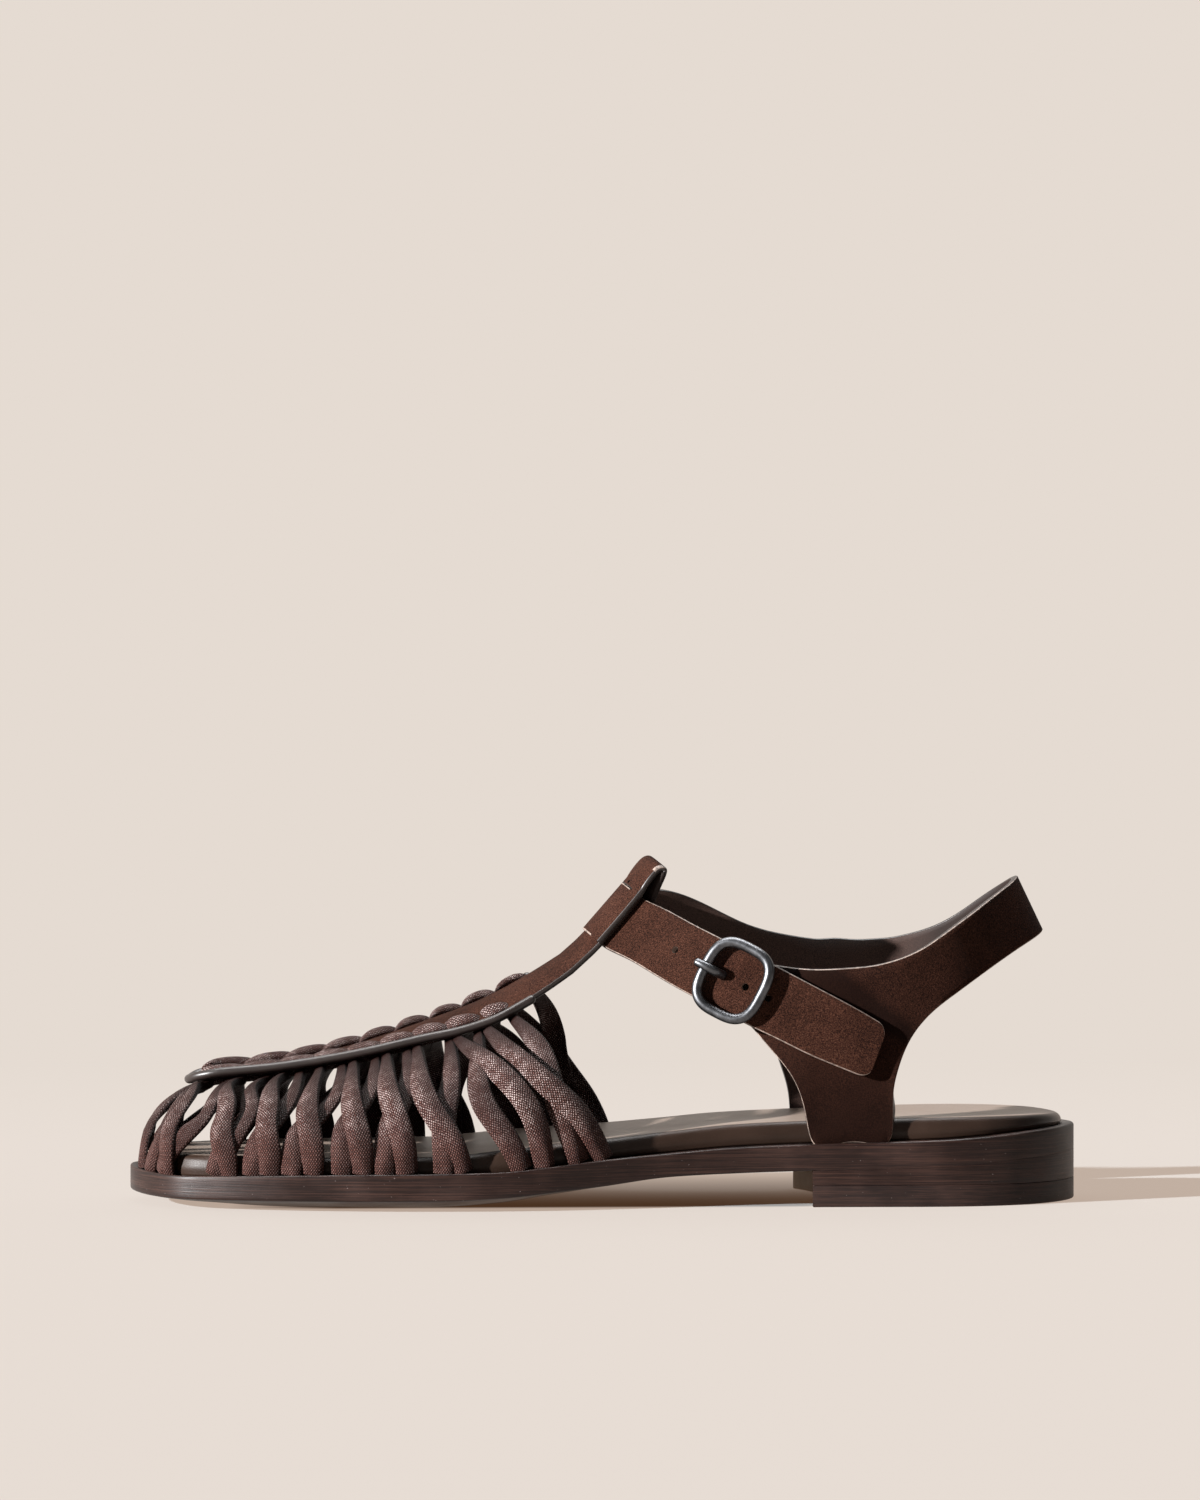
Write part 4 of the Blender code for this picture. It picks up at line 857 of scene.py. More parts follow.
# ---------------------------------------------------------------- sole and footbed


def sole_spline(name):
    """Spline of a column over t, where x = -half cos t, so that the ends come out round."""
    turn = np.arccos(np.clip(-column("x") / SOLE_HALF, -1.0, 1.0))
    return natural_spline(turn, column(name))


def sole_height(name):
    """Steady curve of a column over x."""
    return steady_curve(column("x"), column(name))


def rim(side, offset=0.0, of_inset=0.0, count=240):
    """Outsole's edge on one side in plan: x = -half cos t and the table's y(t), moved in
    along its normal by offset and by a share of the table's inset."""
    t = np.linspace(0, pi, count)
    x = -SOLE_HALF * np.cos(t)
    plan = np.stack([x, sole_spline(side)(t)], axis=1)
    along = unit(np.gradient(plan, axis=0))
    inward = np.stack([-along[:, 1], along[:, 0]], axis=1) * (-1.0 if side == "medial" else 1.0)
    inward[0], inward[-1] = (1.0, 0.0), (-1.0, 0.0)
    return plan + inward * (offset + of_inset * sole_height("inset")(x))[:, None]


def crown_share(u):
    """How far the tread has turned up at u half widths from the middle: nothing on the flat
    part, then the square of the share of the way to the edge."""
    return np.clip((np.abs(u) - TREAD_FLAT) / (1 - TREAD_FLAT), 0, 1) ** 2


def tread(x, u):
    """Lower face of the outsole: its middle height, and the crown's share of the way to its
    edge height."""
    edge, mid = sole_height("edge_low")(x), sole_height("mid_low")(x)
    return mid + (edge - mid) * crown_share(u)


def seat(x, u):
    """Upper face of the outsole: its edge height less 0.8 of what the tread dips there."""
    dip = 0.8 * (sole_height("edge_low")(x) - sole_height("mid_low")(x))
    return sole_height("top")(x) - dip * (1 - crown_share(u))


def outline_loop(of_inset=0.0, breast=None):
    """Closed plan outline, medial toe to heel and back along the lateral side. A breast
    cuts it off ahead of that x, with a front hollowed as 4 s (1 - s)."""
    lateral, medial = (rim(side, of_inset=of_inset, count=200) for side in ("lateral", "medial"))
    if breast is None:
        return np.vstack([medial, lateral[::-1][1:-1]])
    medial, lateral = (
        np.vstack([(breast, np.interp(breast, edge[:, 0], edge[:, 1])), edge[edge[:, 0] > breast]])
        for edge in (medial, lateral)
    )
    share = np.linspace(0, 1, BREAST_POINTS + 2)[1:-1, None]
    front = lateral[0] * (1 - share) + medial[0] * share
    front[:, 0] += BREAST_HOLLOW * 4 * (share * (1 - share))[:, 0]
    return np.vstack([medial, lateral[::-1][1:], front])


def loop_solid(plan, top, low, round_top, round_low, shares=SOLID_SHARES, walls=3, belly=0.0):
    """Solid over a plan outline. The top and bottom shrink in shares towards the spine,
    quarter rounds join them to the wall, and belly swells the wall outwards."""
    middle = (plan[:, 0].min() + plan[:, 0].max()) / 2
    reach = (plan[:, 0].max() - plan[:, 0].min()) / 2
    spine_half = reach - 0.45 * np.ptp(plan[:, 1])
    spine_x = middle + np.clip(plan[:, 0] - middle, -spine_half, spine_half)
    spine_y = np.interp(spine_x, *centre_line())
    spine = np.stack([spine_x, spine_y], axis=1)
    along = unit(np.roll(plan, -1, axis=0) - np.roll(plan, 1, axis=0))
    inward = np.stack([-along[:, 1], along[:, 0]], axis=1)
    if np.sum(inward * (spine - plan)) < 0:
        inward = -inward
    half = half_width()
    round_low = np.broadcast_to(np.asarray(round_low, float), (len(plan),))

    def row(spot, level, lift):
        u = np.clip((spot[:, 1] - np.interp(spot[:, 0], *centre_line())) / half(spot[:, 0]), -1, 1)
        return np.column_stack([spot, level(spot[:, 0], u) + lift])

    rows = [row(spine + (plan + inward * round_top - spine) * s, top, 0.0) for s in shares]
    turns = np.linspace(0, pi / 2, 6)
    for a in turns:
        spot = plan + inward * round_top * (1 - sin(a))
        rows.append(row(spot, top, -round_top * (1 - cos(a))))
    upper = row(plan, top, -round_top)
    under = row(plan, low, round_low)
    for k in range(1, walls + 1):
        share = k / (walls + 1)
        wall = upper * (1 - share) + under * share
        wall[:, :2] -= inward * belly * sin(pi * share)
        rows.append(wall)
    for a in turns[::-1]:
        spot = plan + inward * (round_low * (1 - sin(a)))[:, None]
        rows.append(row(spot, low, round_low * (1 - cos(a))))
    rows += [row(spine + (plan + inward * round_low[:, None] - spine) * s, low, 0.0) for s in shares[::-1]]
    return {"rings": np.array(rows), "cap": False}


def centre_line():
    """Middle of the sole in plan: x, and y halfway between its edges."""
    t = np.linspace(0, pi, 160)
    x = -SOLE_HALF * np.cos(t)
    return x, (sole_spline("lateral")(t) + sole_spline("medial")(t)) / 2


def half_width():
    """Half the sole's width, as a curve over x."""
    t = np.linspace(0, pi, 160)
    x = -SOLE_HALF * np.cos(t)
    half = np.maximum((sole_spline("medial")(t) - sole_spline("lateral")(t)) / 2, 0.5)
    return lambda at: np.interp(at, x, half)


def footbed_top(x, u):
    """Upper face of the footbed: its edge height less dish (1 - u^2)."""
    return sole_height("foot_top")(x) - FOOTBED_DISH * (1 - u * u)


class SANDAL_OT_sole(bpy.types.Operator):
    """Outsole, heel stack and top piece with burnished edges"""

    bl_idname = "sandal.sole"
    bl_label = "Sole and heel"

    def execute(self, context):
        found = finishes()
        loop, plan = outline_loop(), outline_loop(breast=HEEL_BREAST)
        corner = np.where(loop[:, 0] < HEEL_BREAST, 0.6, 0.04)
        outsole = loop_solid(loop, seat, tread, 0.7, corner, walls=4)
        made = skinned("outsole_leather", [outsole], [found["sole_edge"]])
        seated(made, "sole_leather", "outsole")
        front = (np.arange(len(plan)) >= len(plan) - BREAST_POINTS - 1).astype(int)

        def level(height):
            return lambda x, u: height + 0 * x

        stack = loop_solid(plan, lambda x, u: tread(x, u) - 0.02, level(TOP_PIECE + 0.05), 0.05, 0.18)
        stack["zone"] = front
        made = skinned("heel_leather", [stack], [found["sole_edge"], found["heel_breast"]])
        seated(made, "sole_leather", "heel_stack")
        piece = loop_solid(plan, level(TOP_PIECE), level(0.0), 0.18, 0.5)
        piece["zone"] = front
        made = skinned("heel_top_rubber", [piece], [found["heel_rubber"], found["heel_breast"]])
        seated(made, "top_piece_rubber", "heel_top_piece")
        return {"FINISHED"}


class SANDAL_OT_footbed(bpy.types.Operator):
    """Padded footbed wrapped in smooth leather"""

    bl_idname = "sandal.footbed"
    bl_label = "Footbed"

    def execute(self, context):
        def low(x, u):
            return seat(x, u) + 0.12

        plan = outline_loop(of_inset=1.0)
        pad = loop_solid(plan, footbed_top, low, 2.3, 0.7, PAD_SHARES, walls=4, belly=0.25)
        made = skinned("footbed_pad", [pad], [finishes()["footbed_skin"]])
        seated(made, "footbed_leather", "footbed")
        return {"FINISHED"}


# ---------------------------------------------------------------- apron and t-strap


def on_instep(along, radius, degrees):
    """Points of the instep's bar: up its slope, out from its axis, and round it."""
    along, radius, a = (np.asarray(v, float)[..., None] for v in (along, radius, np.radians(degrees)))
    axis = SLOPE * along + LEVEL * INSTEP_LEVEL - NEAR * INSTEP_Y
    return axis + radius * (np.cos(a) * LEVEL + np.sin(a) * NEAR)


def apron_track():
    """Strap table as smooth rows, closer together at the toe: crest, half width, roll,
    crown radius and the way that is level there."""
    rows = np.array(STRAP_ROWS)
    knots = lengths_along(rows[:, :3])
    s = np.concatenate([np.linspace(0, 8, 24)[:-1], np.linspace(8, knots[-1], 110)])
    smooth = natural_spline(knots, rows[:, [0, 1, 2, 4, 5]])(s)
    half = steady_curve(knots, rows[:, 3])(s)
    along = np.gradient(smooth[:, :3], axis=0)
    along[:, 1] = 0.0
    along = unit(along)
    level = np.stack([-along[:, 2], along[:, 1], along[:, 0]], axis=1)
    return smooth[:, :3], half, smooth[:, 3], smooth[:, 4], level


def crowned(centre, level, half, tilt, crown, shares):
    """Points across a strap: an arc of the crown's radius, rolled by tilt about the crest,
    so side = R (sin turn - sin tilt) and drop = R (cos tilt - cos turn)."""
    base = np.radians(tilt)[:, None]
    crown = crown[:, None]
    turn = base + np.asarray(shares)[None] * half[:, None] / crown
    side = crown * (np.sin(turn) - np.sin(base))
    drop = crown * (np.cos(base) - np.cos(turn))
    return centre[:, None] + side[..., None] * NEAR - drop[..., None] * level[:, None]


def fold_track(shares):
    """Rows of the fold table along their spline, closer together at the tail's step and at
    its slot: how far up the slope, radius, rise of the outer face and mark of each place."""
    rows = np.array(FOLD_ROWS)
    knots = lengths_along(rows)
    turn = natural_spline(knots, rows)
    fine = np.linspace(0, knots[-1], 150)
    front = fine[: int(np.argmax(turn(fine)[:, 0]))]
    low, high = (np.interp(v, turn(front)[:, 0], front) for v in (TAIL_LOW, TAIL_HIGH))
    step = low + np.array((-0.03, 0.03, 0.2, 0.4))
    lips = high + np.array((-0.3, 0.0, 0.03, CUT_WIDTH, CUT_WIDTH + 0.03))
    s = np.sort(np.concatenate([fine[1:], step, lips]))
    along, radius = turn(s).T
    rise = np.where((s > low) & (radius < TAIL_OUTER) & (s < high + 4), TAIL_OUTER - radius, 0.0)
    middle = smooth_step((CUT_HALF - np.abs(np.asarray(shares) - CUT_MIDDLE)) / 0.12)
    cut = ((s > high + 0.02) & (s < high + CUT_WIDTH + 0.01))[:, None] * middle
    mark = np.zeros((len(s), len(shares) - 1), int)
    mark[np.ix_((s > low - 0.04) & (s < low + 0.35), np.asarray(shares)[1:] < STEP_BARE)] = 1
    inside = (middle[1:] + middle[:-1]) > 0.5
    mark[np.ix_((s > high - 0.31) & (s < high - 0.01), inside)] = 1
    # Painted shade: the slot's floor is given the dark edge paint.
    mark[np.ix_((s > high - 0.01) & (s < high + CUT_WIDTH + 0.02), inside)] = 2
    return along, radius, rise[:, None] - CUT_DEPTH * cut, mark


def strap_grid(shares):
    """Outer face of the apron and t-strap up to the end behind the ankle strap, the rise of
    that face at each place, its marks (1 bare, 2 painted shade in the slot), and the rows of the worn
    fold."""
    crest, half, tilt, crown, level = apron_track()
    apron = crowned(crest, level, half, tilt, crown, shares)
    along, radius, rise, mark = fold_track(shares)
    reach = np.minimum(np.degrees(STRAP_HALF / radius), BEHIND_TURN)
    turns = INSTEP_TILT + np.asarray(shares)[None] * reach[:, None]
    instep = on_instep(along[:, None] + 0 * turns, radius[:, None] + 0 * turns, turns)
    worn = (along > WORN_FOLD) & (radius > 16.5)
    plain = len(crest)
    rise = np.vstack([np.zeros((plain, len(shares))), rise])
    mark = np.vstack([np.zeros((plain, len(shares) - 1), int), mark])
    return np.concatenate([apron, instep]), rise, mark, np.concatenate([np.zeros(plain, bool), worn])


def marked(strap, mark, worn):
    """Zones of the strap with its bare step and lip, slot painted dark as shade, worn fold corners,
    and the plain edges of the part behind the fold."""
    rows = np.tile(strap["zone"], (len(mark) - 1, 1))
    across, last = mark.shape[1], rows.shape[1] - 1
    rows[:, :across] = np.where(mark[:-1] > 0, mark[:-1], rows[:, :across])
    rows[np.flatnonzero(worn)[-1] + 4 :, across:] = 3
    rows[worn[:-1], across - 1] = 1
    corners = np.array([across, across + 1, last - 1, last])
    rows[np.ix_(worn[:-1], corners)] = 1
    return rows


def apron_edge():
    """The apron's rim from the lateral throat round the toe to the medial throat: points
    of its upper face, the way out from the rim, and the face's normal."""
    crest, half, tilt, crown, level = apron_track()
    reach = crest[:, 0] < FIRST_SLOT_X + RIM_PAST
    crest, half, tilt, crown, level = (v[reach] for v in (crest, half, tilt, crown, level))
    edge = crowned(crest, level, half, tilt, crown, (1.0, -1.0))
    turn = np.radians(tilt)[:, None] + np.array([1.0, -1.0]) * (half / crown)[:, None]
    ups = np.cos(turn)[..., None] * level[:, None] + np.sin(turn)[..., None] * NEAR
    front = crest[:1] - np.array([[0.3, 0.0, 0.1]])
    points = np.vstack([edge[::-1, 0], front, edge[:, 1]])
    ups = unit(np.vstack([ups[::-1, 0], level[:1], ups[:, 1]]))
    out = unit(np.cross(ups, unit(np.gradient(points, axis=0))))
    return points, (-out if out[len(edge)][0] > 0 else out), ups


def edge_frame(where, edge):
    """Rim point, way out and normal at distances along the rim from its toe middle."""
    points, out, ups = edge
    s = lengths_along(points)
    s = s - s[np.argmin(points[:, 0])]
    return between(where, s, points), unit(between(where, s, out)), unit(between(where, s, ups))


def slot_place(slot, side, edge):
    """Distance along the rim of a slot, counted from the instep end."""
    points = edge[0]
    s = lengths_along(points)
    tip = int(np.argmin(points[:, 0]))
    slot = np.asarray(slot, float)
    x = FIRST_SLOT_X - SLOT_PITCH * slot
    if side == "lateral":
        return np.interp(-x, -points[: tip + 1, 0], s[: tip + 1]) - s[tip]
    return np.interp(x + MEDIAL_SLOT_SHIFT * toe_fade(slot), points[tip:, 0], s[tip:]) - s[tip]


def toe_fade(slot):
    """How much of the medial stagger is left at a slot: 1 - (slot / last)^3."""
    return 1 - np.clip(np.asarray(slot, float) / LAST_SLOT, 0, 1) ** 3


class SANDAL_OT_apron(bpy.types.Operator):
    """Suede apron and t-strap with its folded end, tail and rolled piping"""

    bl_idname = "sandal.apron"
    bl_label = "Apron and t-strap"

    def execute(self, context):
        found = finishes()
        sizes = context.scene.sandal_sizes
        look = [found[n] for n in ("suede_nap", "raw_edge", "edge_paint", "strap_lining")]
        shares = np.linspace(-1, 1, 17)
        grid, rise, mark, worn = strap_grid(shares)
        strap = leather(grid, sizes.thin_leather / MM, zones=(0, 2, 2, 3), bulge=0.7, rise=rise, turns=7)
        strap["zone"] = marked(strap, mark, worn)
        made = skinned("t_strap_suede", [strap], look)
        spot, hub = (on_instep(AWL_ALONG, r, INSTEP_TILT) for r in (19.1, 10.0))
        punched(made, [(spot, unit(spot - hub))], found["edge_paint"], 0.6, 1.6)
        seated(made, "suede", "t_strap")
        edge = apron_edge()
        ends = slot_place(PIPING_SLOT, "lateral", edge), slot_place(-PIPING_SLOT / 3, "medial", edge)
        at, out, up = edge_frame(np.linspace(ends[0], ends[1], 240), edge)
        radius = sizes.piping / MM
        path, size = rounded_ends(at + out * (radius + 0.15) + up * 0.2, radius)
        roll = tube(path, size, np.vstack([up[:1]] * 5 + [up] + [up[-1:]] * 5), around=20)
        seated(skinned("apron_piping_roll", [roll], [found["edge_paint"]]), "edge_leather", "apron_piping")
        return {"FINISHED"}


# ---------------------------------------------------------------- laces


def web_place(points):
    """Place of plan points along the web: x behind the turning point, fanned round it ahead."""
    x, y = points[:, 0] - WEB_TURN[0], np.abs(points[:, 1] - WEB_TURN[1])
    return np.where(x > 0, x, -WEB_FAN * np.arctan2(np.maximum(-x, 0), np.maximum(y, 1e-6)))


def web_lines(side, edge, sizes):
    """Where the web leaves the apron and where it meets the sole, with its places."""
    below = sizes.thin_leather / MM + GAP + SLOT_THICK / 2
    points, out, ups = edge
    tip = int(np.argmin(points[:, 0]))
    part = slice(0, tip + 1) if side == "lateral" else slice(tip, None)
    head = (points + out * 1.0 - ups * below)[part]
    line = rim(side, offset=-(sizes.lace_thickness / MM / 2 + LEG_CLEAR), of_inset=1.0)
    foot = np.column_stack([line, sole_height("top")(line[:, 0]) + 0.1])
    lines = []
    for run in (head, foot):
        place = web_place(run)
        order = np.argsort(place)
        lines.append((place[order], run[order]))
    return lines


def web_point(lines, place, v):
    """Web surface: a cubic Bezier curve in v from the apron's line to the sole's, its two
    handles set by their shares of the way out and of the height."""
    a, b, c = 3 * (1 - v) ** 2 * v, 3 * (1 - v) * v * v, v**3
    out = WEB_OUT[0] * a + WEB_OUT[1] * b + c
    high = (1 - v) ** 3 + WEB_HIGH[0] * a + WEB_HIGH[1] * b
    top, foot = between(place, *lines[0]), between(place, *lines[1])
    point = top + (foot - top) * out[:, None]
    point[:, 2] = foot[:, 2] + (top[:, 2] - foot[:, 2]) * high
    return point


def height_left(v):
    """Share of the drop that is left at v on the web's curve."""
    upper = (1 - v) ** 3 + WEB_HIGH[0] * 3 * (1 - v) ** 2 * v
    return upper + WEB_HIGH[1] * 3 * (1 - v) * v * v


def web_track(side, row, edge, lines, v):
    """Places on the web of one strip: at five drops its x is found on the web's own curve
    of that drop, and a spline joins the five places."""
    slot, leg_x, _, *shares = row
    shift = toe_fade(slot) if side == "medial" else 0.0
    at = edge_frame(np.array([slot_place(slot, side, edge)]), edge)[0]
    leg_x = leg_x + MEDIAL_LEG_SHIFT * shift
    fine = np.linspace(0, 1, 400)
    drops = np.array([0.0, 0.25, 0.5, 0.75, 1.0])
    knots = [web_place(at)[0]]
    reach = np.linspace(lines[1][0][0], lines[1][0][-1], 500)
    for drop, share in zip(drops[1:], (*shares, 1.0)):
        level = np.full(len(reach), np.interp(drop, 1 - height_left(fine), fine))
        x = at[0, 0] + (leg_x - at[0, 0]) * share
        knots.append(np.interp(x, np.maximum.accumulate(web_point(lines, reach, level)[:, 0]), reach))
    return natural_spline(drops, knots)(1 - height_left(v))


def lace_strip(side, row, edge, lines, sizes, count=48, around=24):
    """One flat strip on the web: its section is a rounded oblong that bunches to an oval
    at the slot, riding out of the web where it is the upper one and in where it is not."""
    slot, over = row[0], row[2]
    _, out, up = (v.reshape(3) for v in edge_frame(np.array([slot_place(slot, side, edge)]), edge))
    v = np.linspace(0, 1, count)
    drop = 1 - height_left(v)
    run = web_track(side, row, edge, lines, v)
    path = web_point(lines, run, v)
    slide = web_point(lines, run + 0.25, v) - web_point(lines, run - 0.25, v)
    below, above = (web_point(lines, run, np.clip(v + step, 0, 1)) for step in (0.01, -0.01))
    fall = below - above
    normal = unit(np.cross(slide, fall))
    flip = np.sign(np.sum(normal * (path - np.array([path[0, 0], WEB_TURN[1], 10.0])), -1, keepdims=True))
    normal = normal * np.where(flip == 0, 1.0, flip)
    swing = np.sin(pi * np.clip(drop / 0.92, 0, 1)) ** 0.8 * CROSS_LIFT + 0.25 * (1 - drop)
    path = path + normal * (swing * (1.0 if over else -0.9))[:, None]
    twist = (LACE_TWIST * (1 - smooth_step(drop / 0.85)))[:, None]
    normal = normal * np.cos(twist) - unit(slide) * np.sin(twist)
    inner = path[0] - out * np.linspace(3.0, 0.6, 4)[:, None] + UP * 0.15
    path = np.vstack([inner, path])
    normal = np.vstack([np.tile(up, (4, 1)), normal])
    normal[4:8] = unit(normal[4:8] + up * np.linspace(1.0, 0.1, 4)[:, None])
    _, across, normal = frame_along(path, normal)
    full, thick = sizes.lace_width / MM, sizes.lace_thickness / MM
    drop = np.concatenate([np.zeros(4), drop])
    ease = 1 - (1 - np.clip(drop / 0.42, 0, 1)) ** 2.0
    width = SLOT_WIDTH + (full - SLOT_WIDTH) * ease - FOOT_TAPER * smooth_step((drop - 0.7) / 0.3)
    depth = SLOT_THICK + (thick - SLOT_THICK) * ease
    angle = full_turn(around)
    flat, rise = squared(np.cos(angle), 0.8), squared(np.sin(angle), 0.5)
    apex = 0.3 * np.sin(2.4 * pi * drop + 1.9 * slot)[:, None] * ease[:, None]
    crown = LACE_RIDGE * ease[:, None] * (1 - np.abs(flat[None] - apex) ** 1.1 / (1 + np.abs(apex)) ** 1.1)
    ring = across[:, None] * (flat[None] * width[:, None] / 2)[..., None]
    ring = ring + normal[:, None] * (rise[None] * depth[:, None] / 2 + crown)[..., None]
    uv = np.zeros((len(path), around + 1, 2))
    wrap = np.concatenate([flat, flat[:1]])
    uv[..., 0] = wrap * full / 2 + 20.0 * (np.arange(around + 1) > around / 2)
    uv[..., 1] = lengths_along(path)[:, None] + 3.7 * slot
    # Painted shade: the strip is dark just below the apron's rim, dimmer where it passes under another,
    # and darker on its side turned from the key light.
    shade = 0.12 + 0.88 * smooth_step((drop - 0.05) / 0.22)
    if not over:
        shade = shade * (1 - 0.6 * np.exp(-(((drop - 0.44) / 0.17) ** 2)))
    away = (flat[None] - apex) * (-1.0 if side == "lateral" else 1.0)
    turned = 1 - 0.3 * smooth_step((away + 0.05) / 0.3) - 0.3 * smooth_step((away - 0.2) / 0.8)
    shade = shade[:, None] * turned
    return {"rings": path[:, None] + ring, "uv": uv, "shade": shade}


def lace_rail(side, edge, sizes):
    """The run of lace under the apron that carries the strips of one side."""
    ends = slot_place(np.array([-0.2, LAST_SLOT]), side, edge)
    at, out, up = edge_frame(np.linspace(ends[0], ends[1], 120), edge)
    path = at - out * 2.8 - up * (sizes.thin_leather / MM + GAP + SLOT_THICK / 2)
    return tube(path, 2.0, up, around=12, flat=0.4)


def loop_parts(side, edge, sizes):
    """Short loops on the apron, one from each slot to the next: a pillow that rests on the
    suede, its top an arch, thin at its heel end, blunt and leaning inwards at its toe end."""
    parts = []
    high = sizes.loop_height / MM - (NEAR_LOOPS if side == "lateral" else 0.0)
    for k, slot in enumerate(np.arange(0.5, 9.4, 1.0)):
        half = np.interp(slot, (0.5, 1.5, 4.0, 7.0), (0.44, 0.55, 0.58, 0.85))
        ends = slot_place(np.array([slot - half, slot + half + (0.5 if slot > 8 else 0.0)]), side, edge)
        crest = high * np.interp(slot, (0.5, 1.5), (0.72, 1.0))
        t = np.linspace(0, 1, 28)
        at, out, up = edge_frame(ends[0] + (ends[1] - ends[0]) * t, edge)
        lean = LOOP_INSET[side] + LOOP_LEAN[side] * (2 * t - 1)
        top = (1 - np.abs(2 * t - 1) ** 2.6) * (crest + 0.5) - 0.5
        low = -0.5 - 0.6 * np.abs(2 * t - 1) ** 2
        path = at - out * lean[:, None] + up * ((top + low) / 2)[:, None]
        swell = (1 - 0.55 * (1 - t) ** 3) * (1 - 0.30 * t**6)
        _, across, normal = frame_along(path, up)
        angle = full_turn(20)
        flat = squared(np.cos(angle), 0.8)
        ring = across[:, None] * (flat[None] * LOOP_WIDE * swell[:, None])[..., None]
        tall = np.maximum((top - low) / 2, 0.45)
        ring = ring + normal[:, None] * (np.sin(angle)[None] * tall[:, None])[..., None]
        uv = np.zeros((len(path), 21, 2))
        uv[..., 0] = np.linspace(0, 11.0, 21)
        uv[..., 1] = lengths_along(path)[:, None] + 5.1 * k
        # Painted shade: each loop is darker towards its ends, where it dives into the slots.
        shade = 0.45 + 0.55 * smooth_step(6 * t * (1 - t))
        parts.append({"rings": path[:, None] + ring, "uv": uv, "shade": shade[:, None]})
    return parts


class SANDAL_OT_laces(bpy.types.Operator):
    """Woven lace strips of the vamp, and the loops on top of the apron"""

    bl_idname = "sandal.laces"
    bl_label = "Woven laces"

    def execute(self, context):
        found, sizes = finishes(), context.scene.sandal_sizes
        edge = apron_edge()
        for side in ("lateral", "medial"):
            lines = web_lines(side, edge, sizes)
            strips = [lace_strip(side, row, edge, lines, sizes) for row in LACE_ROWS]
            strips.append(lace_rail(side, edge, sizes))
            made = skinned("vamp_laces_" + side, strips, [found["woven_lace"]])
            seated(made, "lace", "lace_" + side)
            made = skinned("apron_loops_" + side, loop_parts(side, edge, sizes), [found["woven_lace"]])
            seated(made, "lace", "lace_loops_" + side)
        return {"FINISHED"}


# ---------------------------------------------------------------- quarter and buckle


def band_track():
    """Rows of the band with its part over the instep put in, and their knots: lengths along
    the middle, with 0.5 added to each step."""
    cross = [
        (*on_instep(low, CROSS_RADIUS, degrees), *on_instep(top, CROSS_RADIUS, degrees))
        for degrees, low, top in CROSS_ROWS
    ]
    rows = np.array(list(BAND_ROWS) + cross + list(LATERAL_ROWS), float)
    middle = (rows[:, :3] + rows[:, 3:]) / 2
    knots = lengths_along(middle) + np.arange(len(rows)) * 0.5
    return rows, knots


def band_grid(shares, step=0.9):
    """Outer face of the band between its two edge splines, with the tip's corners rounded."""
    rows, knots = band_track()
    t = np.linspace(knots[0], knots[-1], int((knots[-1] - knots[0]) / step))
    ending = np.linspace(t[-6], t[-1], 26)
    t = np.concatenate([t[:-6], ending])
    edges = natural_spline(knots, rows)(t)
    low, top = edges[:, :3], edges[:, 3:]
    left = knots[-1] - t
    into = np.clip(1 - left / TIP_CORNER, 0, 1)
    pull = TIP_CORNER * (1 - np.sqrt(np.maximum(1 - into**2, 0.0)))
    across = unit(top - low)
    low, top = low + across * pull[:, None] * 0.8, top - across * pull[:, None]
    u = np.asarray(shares)[None, :, None]
    return low[:, None] * (1 - u) + top[:, None] * u


def band_frame(x):
    """Middle of the lateral strap at x: point, along, across and outward."""
    rows, knots = band_track()
    first = len(BAND_ROWS) + len(CROSS_ROWS)
    edges = natural_spline(knots, rows)(np.linspace(knots[first], knots[-1], 400))
    middle = (edges[:, :3] + edges[:, 3:]) / 2
    i = int(np.argmin(np.abs(middle[:, 0] - x)))
    along = unit(middle[i + 3] - middle[i - 3])
    across = edges[i, 3:] - edges[i, :3]
    across = unit(across - along * (across @ along))
    out = np.cross(along, across)
    return middle[i], along, across, (out if out[1] < 0 else -out)


def punched(obj, spots, material, radius=HOLE_RADIUS, depth=4.0):
    """Cuts round holes through a piece and keeps the result as its mesh."""
    for k, (centre, out) in enumerate(spots):
        shape = bmesh.new()
        size = {"radius1": radius * MM, "radius2": radius * MM, "depth": depth * MM}
        bmesh.ops.create_cone(shape, cap_ends=True, segments=20, **size)
        turn = Vector(out).to_track_quat("Z", "Y").to_matrix().to_4x4()
        turn.translation = Vector((centre - out * depth / 4) * MM)
        bmesh.ops.transform(shape, matrix=turn, verts=shape.verts)
        mesh = bpy.data.meshes.new("punch")
        shape.to_mesh(mesh)
        shape.free()
        mesh.materials.append(material)
        punch = linked(f"punch_{k}", mesh)
        cut = obj.modifiers.new(punch.name, "BOOLEAN")
        cut.operation, cut.solver, cut.object = "DIFFERENCE", "EXACT", punch
        cut.material_mode = "TRANSFER"
    graph = bpy.context.evaluated_depsgraph_get()
    mesh = bpy.data.meshes.new_from_object(obj.evaluated_get(graph), depsgraph=graph)
    obj.modifiers.clear()
    obj.data = mesh
    for punch in [o for o in bpy.data.objects if o.name.startswith("punch_")]:
        bpy.data.objects.remove(punch)


